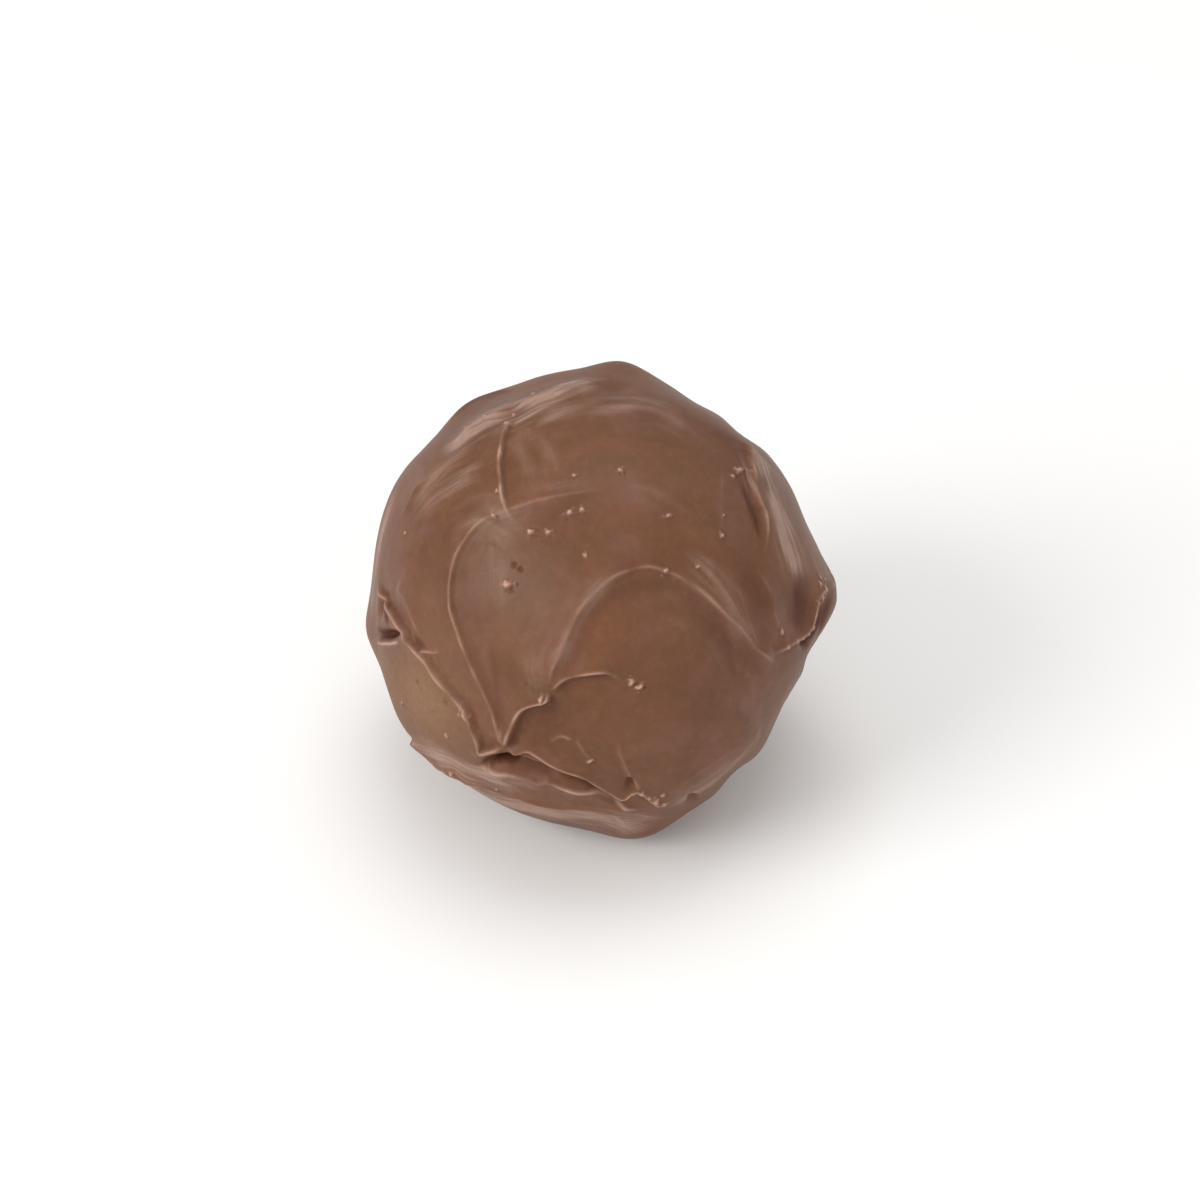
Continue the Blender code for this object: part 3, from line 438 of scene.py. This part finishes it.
        "reach": 3.0, "stretch": 0.3, "height": 0.60, "width": 0.85, "grain": 0.8, "uneven": 0.9,
        "moatDepth": 0.15, "moatPlace": 1.35, "moatWidth": 0.35,
        "thin": 1.2, "thinSides": (0.75, 0.35),  # painted highlight beside it, and how much less below it
        "shade": 0.55, "shadeSides": (0.35, 0.65),  # painted shadow beside it, and how much more below it
    },
    "dimpleMaking": {"depth": 0.8, "ringHeight": 0.25, "ringPlace": 1.3, "ringWidth": 0.35},
}


def faceAxes(face):
    # right, up and towards the eye
    roundIt, tilt = (math.radians(angle) for angle in bonbonShape["faces"][face])
    right = np.array([math.cos(roundIt), math.sin(roundIt), 0.0])
    towardsEye = np.array([
        math.sin(roundIt) * math.cos(tilt), -math.cos(roundIt) * math.cos(tilt), math.sin(tilt)])
    return right, np.cross(towardsEye, right), towardsEye


def onBall(face, across, up):
    # the point of the ball that the eye sees there
    right, upward, towardsEye = faceAxes(face)
    radius, distance = bonbonShape["radius"], view["distance"]
    slant = across**2 + up**2 + distance**2
    beyond = slant * (distance**2 - radius**2)
    share = (distance**2 - math.sqrt(max(distance**4 - beyond, 0.0))) / slant
    point = share * (across * right + up * upward) + distance * (1.0 - share) * towardsEye
    return radius * point / np.linalg.norm(point)


def onFace(points, face):
    # where the eye sees points of the ball, and how far they stand towards it
    right, upward, towardsEye = faceAxes(face)
    towards = points @ towardsEye
    larger = view["distance"] / (view["distance"] - towards)
    return points @ right * larger, points @ upward * larger, towards


def onRim(degrees):
    right, upward, _ = faceAxes("front")
    turn = math.radians(degrees)
    return bonbonShape["radius"] * (math.cos(turn) * right + math.sin(turn) * upward)


def smoothPath(face, places, step=0.12):
    # a Catmull-Rom curve on the ball through the places
    knots = [onBall(face, *place) for place in places]
    knots = [2 * knots[0] - knots[1], *knots, 2 * knots[-1] - knots[-2]]
    points = []
    for before, start, end, after in zip(knots, knots[1:], knots[2:], knots[3:]):
        steps = max(2, round(np.linalg.norm(end - start) / step))
        for t in np.arange(steps) / steps:
            points.append(0.5 * (2 * start + (end - before) * t
                                 + (2 * before - 5 * start + 4 * end - after) * t**2
                                 + (3 * start - 3 * end + after - before) * t**3))
    points = np.array([*points, knots[-2]])
    return bonbonShape["radius"] * points / np.linalg.norm(points, axis=1)[:, None]


def alongAndAcross(points, path):
    # for each point, the way along the path, and the way across it, left of it positive
    tangents = np.gradient(path, axis=0)
    tangents /= np.linalg.norm(tangents, axis=1)[:, None]
    leftwards = np.cross(path / bonbonShape["radius"], tangents)
    walked = np.concatenate([[0.0], np.cumsum(np.linalg.norm(np.diff(path, axis=0), axis=1))])
    nearest = np.argmax(points @ path.T, axis=1)
    offset = points - path[nearest]
    along = walked[nearest] + np.einsum("ij,ij->i", offset, tangents[nearest])
    across = np.einsum("ij,ij->i", offset, leftwards[nearest])
    return along, across, walked


def closeTo(points, path, reach):
    middle = path.mean(axis=0)
    spread = np.linalg.norm(path - middle, axis=1).max()
    return np.flatnonzero(np.linalg.norm(points - middle, axis=1) < spread + reach)


def smoothStep(share):
    share = np.clip(share, 0.0, 1.0)
    return share * share * (3.0 - 2.0 * share)


def noiseAt(points, length):
    return np.array([noise.noise(Vector(point) / length) for point in points])


def noiseAlong(walked, length, row, layer):
    # the row, from its number, gives each mark noise of its own
    return np.array([noise.noise(Vector((way / length, row, layer))) for way in walked])


def fadeAtEnds(along, walked, fadeIn, fadeOut):
    return smoothStep(along / fadeIn) * smoothStep((walked[-1] - along) / fadeOut)


def crestRise(points, number, face, height, leftWidth, rightWidth, trough, fadeIn, fadeOut, places):
    # highest along its line, falling away at its own rate on each side; also its troughs and drag
    # lines, the painted highlight along its line, and the painted shadow below its steep side
    making, drag = bonbonShape["crestMaking"], bonbonShape["dragMaking"]
    path = smoothPath(face, places)
    rise, others, thin, depthAndPaintedShade, shade = np.zeros((5, len(points)))
    reach = max(making["reach"] * max(leftWidth, rightWidth), drag["ends"] * drag["reach"])
    chosen = closeTo(points, path, reach)
    along, across, walked = alongAndAcross(points[chosen], path)
    stray, strayLength = making["stray"]
    uneven, unevenLength = making["uneven"]
    wobble = noiseAlong(walked, strayLength, 7.3 * number, 0.5)
    strength = noiseAlong(walked, unevenLength, 3.1 * number, 9.5)
    across += stray * np.interp(along, walked, wobble)
    stronger = np.interp(along, walked, strength)
    fade = fadeAtEnds(along, walked, fadeIn, fadeOut)
    width = np.where(across > 0.0, leftWidth, rightWidth)
    narrow = min(leftWidth, rightWidth)
    rounding = making["rounding"] * narrow
    fromLine = np.sqrt(across**2 + rounding**2) - rounding
    profile = np.exp(-((fromLine / width) ** making["sharpness"]))
    rise[chosen] = height * fade * profile * (1.0 + uneven * stronger)
    lowSide = (across < 0.0) == (rightWidth < leftWidth)
    beside = np.abs(across)
    hollow = np.exp(-(beside / making["troughWidth"]) ** 2)
    hollow *= smoothStep(beside / making["troughStart"])
    depthAndPaintedShade[chosen] = trough * fade * lowSide * hollow
    others -= depthAndPaintedShade
    layer = np.full(len(along), 5.7 * number)
    lines = noiseAt(np.stack([along / drag["length"], across / drag["width"], layer], axis=1), 1.0)
    lines *= np.exp(-(across / drag["reach"]) ** 2)
    others[chosen] += drag["depth"] * fade * lines * min(1.0, height / drag["fullHeight"])
    slender = min(1.0, height / narrow / making["slender"])
    bright = making["thinUsual"] + making["thinVaries"] * stronger
    bright = np.clip(bright, making["thinLeast"], 1.0)
    # painted highlight along the crest's line, in a lighter and redder colour
    thin[chosen] = np.exp(-((across / making["thinWidth"]) ** 2)) * slender * fade * bright
    under = (beside / narrow - making["shadePlace"]) / making["shadeWidth"]
    dark = making["shade"] * slender * (trough > 0.0)
    # painted shadow below the crest's steep side
    shade[chosen] = dark * fade * lowSide * np.exp(-(under**2))
    return rise, others, thin, depthAndPaintedShade, shade


def bandLines(points, number, face, depth, pale, halfWidth, lineWidth, places):
    # how strongly the band shows, and where the points are in it, counted in lines across and in
    # the length that a line lasts along
    making = bonbonShape["bandMaking"]
    path = smoothPath(face, places)
    strength, along, across = np.zeros((3, len(points)))
    chosen = closeTo(points, path, making["reach"] * halfWidth)
    walk, aside, walked = alongAndAcross(points[chosen], path)
    fadeLength = min(making["fade"], making["fadeMost"] * walked[-1])
    fade = fadeAtEnds(walk, walked, fadeLength, fadeLength)
    layer = np.full(len(walk), 4.3 * number + 0.5)
    places = np.stack([walk / making["cloudLength"], aside / making["cloudWidth"], layer], axis=1)
    clouds = noiseAt(places, 1.0) * making["paleClouds" if pale > 0.0 else "darkClouds"]
    raggedWidth = making["raggedLines"] * lineWidth
    places = np.stack([walk / making["raggedLength"], aside / raggedWidth, layer], axis=1)
    edge = np.abs(aside / halfWidth) + making["ragged"] * noiseAt(places, 1.0)
    soft = np.exp(-(np.maximum(edge, 0.0) ** making["edgeSharpness"]))
    strength[chosen] = fade * soft * np.clip(1.0 + clouds, 0.0, making["cloudMost"])
    along[chosen] = walk / making["lineLength"] + 10.0 * number
    across[chosen] = aside / lineWidth
    return strength, along, across


def creaseDepth(points, face, depth, halfWidth, flatness, places):
    making = bonbonShape["creaseMaking"]
    path = smoothPath(face, places)
    fall = np.zeros(len(points))
    chosen = closeTo(points, path, making["reach"] * halfWidth)
    along, across, walked = alongAndAcross(points[chosen], path)
    fadeLength = making["fade"] * walked[-1]
    fade = fadeAtEnds(along, walked, fadeLength, fadeLength)
    fall[chosen] = depth * fade * np.exp(-(np.abs(across / halfWidth) ** flatness))
    return fall


def spotRise(points, face, across, up, height, halfLength, halfWidth, degrees):
    # an oval lump or hollow, with its size as the face's eye sees it
    pointsAcross, pointsUp, towards = onFace(points, face)
    turn = math.radians(degrees)
    sideways, upwards = pointsAcross - across, pointsUp - up
    lengthways = (sideways * math.cos(turn) + upwards * math.sin(turn)) / halfLength
    crossways = (upwards * math.cos(turn) - sideways * math.sin(turn)) / halfWidth
    oval = np.exp(-lengthways**2 - crossways**2)
    return height * oval * smoothStep(towards / bonbonShape["limbFade"])


def rimLumpRise(points, degrees, height, widthRound, widthOver):
    # a hollow reaches far over the rim, because the ball would hide a small one
    _, _, towardsEye = faceAxes("front")
    offset = points - onRim(degrees)
    over = offset @ towardsEye
    roundIt = np.sqrt(np.maximum(np.einsum("ij,ij->i", offset, offset) - over**2, 0.0))
    return height * np.exp(-(roundIt / widthRound) ** 2 - (over / widthOver) ** 2)


def crumbRise(points, number, face, across, up, radius):
    # a low uneven dome with a steep edge, in a slight hollow; the dome carries painted highlight,
    # less on its lower right, and the hollow painted shadow, darkest below it
    making = bonbonShape["crumbMaking"]
    offset = points - onBall(face, across, up)
    near = np.flatnonzero(np.linalg.norm(offset, axis=1) < making["reach"] * radius)
    offset = offset[near]
    rise, thin, shade = np.zeros((3, len(points)))
    right, upward, _ = faceAxes(face)
    stretch, turn = 1.0 + making["stretch"] * math.sin(1.7 * number), 2.4 * number
    longWay = math.cos(turn) * right + math.sin(turn) * upward
    lengthways = np.outer(offset @ longWay, longWay)
    distance = np.linalg.norm((offset - lengthways) * stretch + lengthways / stretch, axis=1)
    # 1 below it on the right, where its shadow falls
    below = offset @ (right - upward) / (1.42 * np.linalg.norm(offset, axis=1) + 1e-6)
    uneven = 1.0 + making["uneven"] * noiseAt(points[near], making["grain"] * radius)
    outward = distance * uneven / radius
    dome = np.exp(-((outward / making["width"]) ** 3))
    moat = np.exp(-(((outward - making["moatPlace"]) / making["moatWidth"]) ** 2))
    rise[near] = radius * (making["height"] * dome - making["moatDepth"] * moat)
    highlightBeside, lessBelow = making["thinSides"]
    darkBeside, moreBelow = making["shadeSides"]
    # painted highlight on the crumb's dome, less on its lower right
    thin[near] = making["thin"] * dome * (highlightBeside - lessBelow * below)
    shade[near] = making["shade"] * moat * smoothStep(darkBeside + moreBelow * below)
    return rise, thin, shade


def dimpleFall(points, middle, radius):
    # a pit with a small raised ring round it
    making = bonbonShape["dimpleMaking"]
    distance = np.linalg.norm(points - middle, axis=1) / radius
    ring = np.exp(-(((distance - making["ringPlace"]) / making["ringWidth"]) ** 2))
    return radius * (making["depth"] * np.exp(-(distance**3)) - making["ringHeight"] * ring)


def spotsOf(kind):
    # face, across, up and radius of each crumb or dimple
    return [(face, *spot) for face, spots in bonbonShape[kind].items() for spot in spots]


def surfaceRise(points):
    # the height of the coat, and there its painted highlight, painted shade, matteness and painted
    # sheen, with where its drawn lines run
    shape = bonbonShape
    merging = shape["crestMaking"]["merging"]
    crests = enumerate(shape["crests"].values())
    parts = [crestRise(points, number, *crest) for number, crest in crests]
    rises, others, highlights, troughs, shades = zip(*parts)
    rise = sum(part**merging for part in rises) ** (1.0 / merging) + sum(others)
    thin = np.max(highlights, axis=0)
    shade = np.max(shades, axis=0)
    fall = sum(troughs)
    for crease in shape["creases"].values():
        fallen = creaseDepth(points, *crease)
        rise -= fallen
        fall += fallen
    for lump in shape["rimLumps"]:
        rise += rimLumpRise(points, *lump)
    for spot in shape["spots"].values():
        risen = spotRise(points, *spot)
        rise += risen
        if spot[3] < 0.0:   # a hollow
            fall -= risen
    drawn = {name: np.zeros(len(points)) for name in ("pale", "drawnAlong", "drawnAcross")}
    for number, band in enumerate(shape["bands"].values()):
        depth, paintedLight = band[1:3]
        strength, along, across = bandLines(points, number, *band)
        rise += depth * strength * noiseAt(np.stack([along, across, across * 0.0], axis=1), 1.0)
        # a band below zero is painted shade; above zero its lines are lighter with painted sheen
        if paintedLight < 0.0:
            darkness = -shape["bandMaking"]["shade"] * paintedLight * strength
            shade = np.maximum(shade, darkness)
            continue
        pale = paintedLight * strength
        stronger = pale > drawn["pale"]
        for name, amounts in (("pale", pale), ("drawnAlong", along), ("drawnAcross", across)):
            drawn[name] = np.where(stronger, amounts, drawn[name])
    for number, crumb in enumerate(spotsOf("crumbs")):
        crumbHeight, crumbHighlight, crumbShade = crumbRise(points, number, *crumb)
        rise += crumbHeight
        thin = np.maximum(thin, crumbHighlight)
        shade = np.maximum(shade, crumbShade)
    for face, across, up, radius in spotsOf("dimples"):
        rise -= dimpleFall(points, onBall(face, across, up), radius)
    for depth, length in shape["waves"]:
        rise += depth * noiseAt(points, length)
    matte = sum(spotRise(points, *patch) for patch in shape["matteFacets"])
    matte = np.clip(shape["matteStrength"] * matte, 0.0, 1.0)
    # painted shade: darker the deeper the folds and hollows, and where crests, crumbs and dark
    # bands paint shadow
    depthAndPaintedShade = np.maximum(shade, 1.0 - np.exp(-((fall / shape["darkDepth"]) ** 2)))
    return rise, {"thin": thin, "depthAndPaintedShade": depthAndPaintedShade, "matte": matte, **drawn}


def inBands(points):
    # 0 for the points of the ball in a raised band of the front, where the mesh is twice as fine
    inside = np.full(len(points), np.inf)
    for face, depth, _, halfWidth, _, places in bonbonShape["bands"].values():
        if face == "front" and depth > 0.0:
            for mark in smoothPath(face, places, step=0.5):
                near = np.linalg.norm(points - mark, axis=1) < halfWidth + bonbonShape["bandMargin"]
                inside[near] = 0.0
    return inside


def fromMarks(points, onlyFront=False):
    # how far each point of the ball is from the nearest crest, crease, crumb or dimple
    shape = bonbonShape
    lines = [*shape["crests"].values(), *shape["creases"].values()]
    spots = spotsOf("crumbs") + spotsOf("dimples")
    if onlyFront:
        lines = [line for line in lines if line[0] == "front"]
    paths = [smoothPath(line[0], line[-1], step=0.2) for line in lines]
    marks = np.concatenate([*paths, [onBall(*spot[:3]) for spot in spots]])
    distance = np.full(len(points), np.inf)
    for mark in marks:
        distance = np.minimum(distance, np.linalg.norm(points - mark, axis=1))
    return distance


def refine(mesh, distance, reach):
    near = distance < reach
    edges = [edge for edge in mesh.edges if near[edge.verts[0].index] and near[edge.verts[1].index]]
    bmesh.ops.subdivide_edges(mesh, edges=edges, cuts=1, use_grid_fill=True)
    bmesh.ops.triangulate(mesh, faces=mesh.faces)
    for vert in mesh.verts:
        vert.co = vert.co.normalized() * bonbonShape["radius"]
    mesh.verts.index_update()
    return np.array([vert.co for vert in mesh.verts])


def fineBall():
    mesh = bmesh.new()
    bmesh.ops.create_icosphere(mesh, subdivisions=7, radius=bonbonShape["radius"])
    points = np.array([vert.co for vert in mesh.verts])
    points = refine(mesh, np.minimum(fromMarks(points), inBands(points)), bonbonShape["fineReach"])
    points = refine(mesh, fromMarks(points, onlyFront=True), bonbonShape["finestReach"])
    return mesh, points


def cutFoot(mesh):
    # the flat spot that it stands on; points this near to the cut are moved onto it
    depth = math.sqrt(bonbonShape["radius"] ** 2 - bonbonShape["footRadius"] ** 2)
    whole = [*mesh.verts, *mesh.edges, *mesh.faces]
    cut = bmesh.ops.bisect_plane(
        mesh, geom=whole, dist=bonbonShape["footSnap"], plane_co=(0, 0, -depth),
        plane_no=(0, 0, -1), use_snap_center=True, clear_outer=True)
    rim = [edge for edge in cut["geom_cut"] if isinstance(edge, bmesh.types.BMEdge)]
    foot = bmesh.ops.contextual_create(mesh, geom=rim)
    bmesh.ops.triangulate(mesh, faces=foot["faces"])
    return depth


def placeInBox(mesh, depth):
    # the ball's middle goes where the solid has it, and the foot on the solid's foot
    places = np.array([vert.co for vert in mesh.verts])
    low, high = places.min(axis=0), places.max(axis=0)
    solidLow, solidHigh = np.array(solidBox[0]), np.array(solidBox[1])
    middle = (solidLow + solidHigh) / 2 - (low + high) / 2 * mm
    middle[2] = solidLow[2] + depth * mm
    for vert in mesh.verts:
        vert.co = vert.co * mm + Vector(middle)
    return Vector(middle)


def makeBonbon():
    mesh, points = fineBall()
    rise, looks = surfaceRise(points)
    for name, amounts in looks.items():
        layer = mesh.verts.layers.float.new(name)
        for vert, amount in zip(mesh.verts, amounts):
            vert[layer] = amount
    for vert, height in zip(mesh.verts, rise):
        vert.co *= 1.0 + height / bonbonShape["radius"]
    depth = cutFoot(mesh)
    middle = placeInBox(mesh, depth)
    bmesh.ops.recalc_face_normals(mesh, faces=mesh.faces)
    data = bpy.data.meshes.new("bonbonCoat")
    mesh.to_mesh(data)
    mesh.free()
    data.shade_smooth()
    piece = bpy.data.objects.new("bonbonCoat", data)
    bpy.context.scene.collection.objects.link(piece)
    print("bonbon made, triangles:", len(data.polygons))
    return piece, middle


# Milk chocolate, hand rolled. The coat set in the air, so it is satin and not mirror-like as
# moulded chocolate is. Crests and crumbs carry a painted highlight, lighter and redder; the lines
# that a palm drew carry a painted sheen, pale and a little mauve; folds, hollows and the places
# below steep edges and crumbs carry painted shade.
chocolateLook = {
    "light": "#6f452a",
    "dark": "#603921",
    "olive": "#654224",
    "mauve": "#734939",
    "matte": "#7e5c43",
    # the colour of the painted sheen on the lines that a palm drew
    "pale": "#9a7c6c",
    # the colour of the painted shade in folds, hollows and below edges
    "depthAndPaintedShade": "#481a08",
    # the colour of the painted highlight on crests and crumbs
    "thin": "#b48e7b",
    "fleck": "#8e6a52",
    # each noise: size in mm, detail
    "clouds": (5.0, 4.0),
    "mottle": (1.6, 5.0),
    "blush": (3.2, 2.0),
    "specks": (0.45, 3.0),
    "grain": (0.45, 3.0),
    # from where to where a noise lays its colour on, and how much of it
    "cloudRange": (0.34, 0.66, 0.0, 1.0),
    "oliveRange": (0.48, 0.68, 0.0, 0.8),
    "mauveRange": (0.50, 0.66, 0.0, 0.55),
    "lineRange": (0.32, 0.72, 0.15, 1.0),
    "fleckRange": (0.58, 0.70, 0.0, 1.0),
    "darkRange": (0.38, 0.28, 0.0, 1.0),
    "brightRange": (0.3, 0.7, 0.93, 1.07),
    "flecks": (0.05, 0.3),        # everywhere, and how much more where the coat is matte
    "glossRange": (0.0, 1.0, 0.42, 0.56),
    "matteRoughness": 0.75,
    "ior": 1.46,
    "shine": 0.36,
    "grainDepth": 0.014,          # mm
    "lineDepth": 0.030,
    "glow": 0.12,                 # light that enters the chocolate, and how deep each colour goes
    "glowColours": (1.0, 0.45, 0.25),
    "glowDepth": 0.6,
}


def milkChocolate():
    look = chocolateLook
    material = bpy.data.materials.new("milkChocolateHandRolled")
    material.use_nodes = True
    tree = material.node_tree
    shader = tree.nodes["Principled BSDF"]
    place = addNode(tree, "ShaderNodeTexCoord").outputs["Object"]
    noises = {}
    for name in ("clouds", "mottle", "blush", "specks", "grain"):
        size, detail = look[name]
        noises[name] = addNode(tree, "ShaderNodeTexNoise", {
            "Scale": 1 / (size * mm), "Detail": detail, "Roughness": 0.6, "Distortion": 0.5,
        }, {"Vector": place}).outputs["Fac"]
    painted = {name: addNode(tree, "ShaderNodeAttribute", {"attribute_name": name}).outputs["Fac"]
               for name in ("matte", "pale", "depthAndPaintedShade", "thin", "drawnAlong", "drawnAcross")}
    drawn = addNode(tree, "ShaderNodeCombineXYZ", links={
        "X": painted["drawnAlong"], "Y": painted["drawnAcross"]})
    noises["lines"] = addNode(tree, "ShaderNodeTexNoise", {
        "Scale": 1.0, "Detail": 3.0, "Roughness": 0.7,
    }, {"Vector": drawn.outputs["Vector"]}).outputs["Fac"]
    laid = {}
    for name, source in (
            ("cloudRange", "clouds"), ("oliveRange", "mottle"), ("mauveRange", "blush"),
            ("lineRange", "lines"), ("fleckRange", "specks"), ("darkRange", "specks"),
            ("brightRange", "specks"), ("glossRange", "clouds")):
        lowest, highest, least, most = look[name]
        laid[name] = addNode(tree, "ShaderNodeMapRange", {
            "From Min": lowest, "From Max": highest, "To Min": least, "To Max": most,
        }, {"Value": noises[source]}).outputs["Result"]
    everywhere, whereMatte = look["flecks"]
    fleckShare = addNode(tree, "ShaderNodeMath", {
        "operation": "MULTIPLY_ADD", 1: whereMatte, 2: everywhere,
    }, {0: painted["matte"]}).outputs["Value"]
    sheenLines, flecks, darkFlecks = (
        addNode(tree, "ShaderNodeMath", {"operation": "MULTIPLY"}, {
            0: amount, 1: share}).outputs["Value"]
        for amount, share in (
            (painted["pale"], laid["lineRange"]), (laid["fleckRange"], fleckShare),
            (laid["darkRange"], fleckShare)))
    colour = addNode(tree, "ShaderNodeMix", {
        "data_type": "RGBA", 6: linear(look["dark"]), 7: linear(look["light"]),
    }, {"Factor": laid["cloudRange"]}).outputs[2]
    # the coat's own tints, then the painted sheen, painted shade and painted highlight, are laid on
    # the colour here
    for amount, tint in (
            (laid["oliveRange"], "olive"), (laid["mauveRange"], "mauve"),
            (painted["matte"], "matte"), (sheenLines, "pale"), (painted["depthAndPaintedShade"], "depthAndPaintedShade"),
            (painted["thin"], "thin"), (flecks, "fleck"), (darkFlecks, "dark")):
        colour = addNode(tree, "ShaderNodeMix", {"data_type": "RGBA", 7: linear(look[tint])},
                         {"Factor": amount, 6: colour}).outputs[2]
    speckled = addNode(tree, "ShaderNodeVectorMath", {"operation": "SCALE"},
                       {"Vector": colour, "Scale": laid["brightRange"]})
    dullness = addNode(tree, "ShaderNodeMath", {"operation": "MAXIMUM"},
                       {0: painted["matte"], 1: painted["depthAndPaintedShade"]}).outputs["Value"]
    roughness = addNode(tree, "ShaderNodeMix", {"data_type": "FLOAT", "B": look["matteRoughness"]},
                        {"Factor": dullness, "A": laid["glossRange"]})
    bump = addNode(tree, "ShaderNodeBump", {"Strength": 1.0, "Distance": look["grainDepth"] * mm},
                   {"Height": noises["grain"]})
    bump = addNode(tree, "ShaderNodeBump", {"Strength": 1.0, "Distance": look["lineDepth"] * mm},
                   {"Height": sheenLines, "Normal": bump.outputs["Normal"]})
    tree.links.new(speckled.outputs["Vector"], shader.inputs["Base Color"])
    tree.links.new(roughness.outputs["Result"], shader.inputs["Roughness"])
    tree.links.new(bump.outputs["Normal"], shader.inputs["Normal"])
    shader.inputs["IOR"].default_value = look["ior"]
    shader.inputs["Specular IOR Level"].default_value = look["shine"]
    shader.inputs["Subsurface Weight"].default_value = look["glow"]
    shader.inputs["Subsurface Radius"].default_value = look["glowColours"]
    shader.inputs["Subsurface Scale"].default_value = look["glowDepth"] * mm
    return material


# The floor: pale matte paper, which takes a soft shadow and mirrors nothing
floorLook = {"colour": "#f6f5f3", "roughness": 0.9, "size": 3000.0, "below": 0.02}


def makeFloor():
    size = floorLook["size"] * mm / 2
    data = bpy.data.meshes.new("paleFloor")
    corners = [(-size, -size, 0), (size, -size, 0), (size, size, 0), (-size, size, 0)]
    data.from_pydata(corners, [], [(0, 1, 2, 3)])
    floor = bpy.data.objects.new("paleFloor", data)
    bpy.context.scene.collection.objects.link(floor)
    material = bpy.data.materials.new("paleMattePaper")
    material.use_nodes = True
    shader = material.node_tree.nodes["Principled BSDF"]
    shader.inputs["Base Color"].default_value = linear(floorLook["colour"])
    shader.inputs["Roughness"].default_value = floorLook["roughness"]
    data.materials.append(material)
    floor.location.z = solidBox[0][2] - floorLook["below"] * mm


# Soft studio light: a large lamp on the left, one overhead, weaker ones behind and in front on the
# right, and a pale room
lamps = {
    "room": 0.55,
    "left": {"from": (-340, -190, 260), "size": 260, "power": 1.30},
    "overhead": {"from": (20, 90, 460), "size": 300, "power": 0.65},
    "behind": {"from": (300, 200, 200), "size": 260, "power": 0.15},
    "front": {"from": (200, -360, 160), "size": 300, "power": 0.30},
}


def lightScene(middle):
    scene = bpy.context.scene
    world = bpy.data.worlds.new("paleRoom")
    world.use_nodes = True
    background = world.node_tree.nodes["Background"]
    background.inputs["Color"].default_value = (1.0, 1.0, 1.0, 1.0)
    background.inputs["Strength"].default_value = lamps["room"]
    scene.world = world
    for name in ("left", "overhead", "behind", "front"):
        lamp = lamps[name]
        data = bpy.data.lights.new(name + "Lamp", "AREA")
        data.size = lamp["size"] * mm
        data.energy = lamp["power"]
        light = bpy.data.objects.new(name + "Lamp", data)
        light.location = Vector(lamp["from"]) * mm
        light.rotation_euler = (middle - light.location).to_track_quat("-Z", "Y").to_euler()
        scene.collection.objects.link(light)
    scene.view_settings.view_transform = "Standard"


def placeCamera(middle):
    data = bpy.data.cameras.new("eye")
    data.lens = view["lens"]
    data.sensor_width = view["sensor"]
    data.clip_start = view["nearest"] * mm
    camera = bpy.data.objects.new("eye", data)
    tilt = math.radians(view["tilt"])
    towardsEye = Vector((0.0, -math.cos(tilt), math.sin(tilt)))
    camera.location = middle + towardsEye * view["distance"] * mm
    camera.rotation_euler = (-towardsEye).to_track_quat("-Z", "Y").to_euler()
    bpy.context.scene.collection.objects.link(camera)
    bpy.context.scene.camera = camera


bonbon, ballMiddle = makeBonbon()
bonbon.data.materials.append(milkChocolate())
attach(bonbon, "root")
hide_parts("bonbon")
print("chocolate done")

makeFloor()
lightScene(ballMiddle)
placeCamera(ballMiddle)
print("floor, light and camera done")
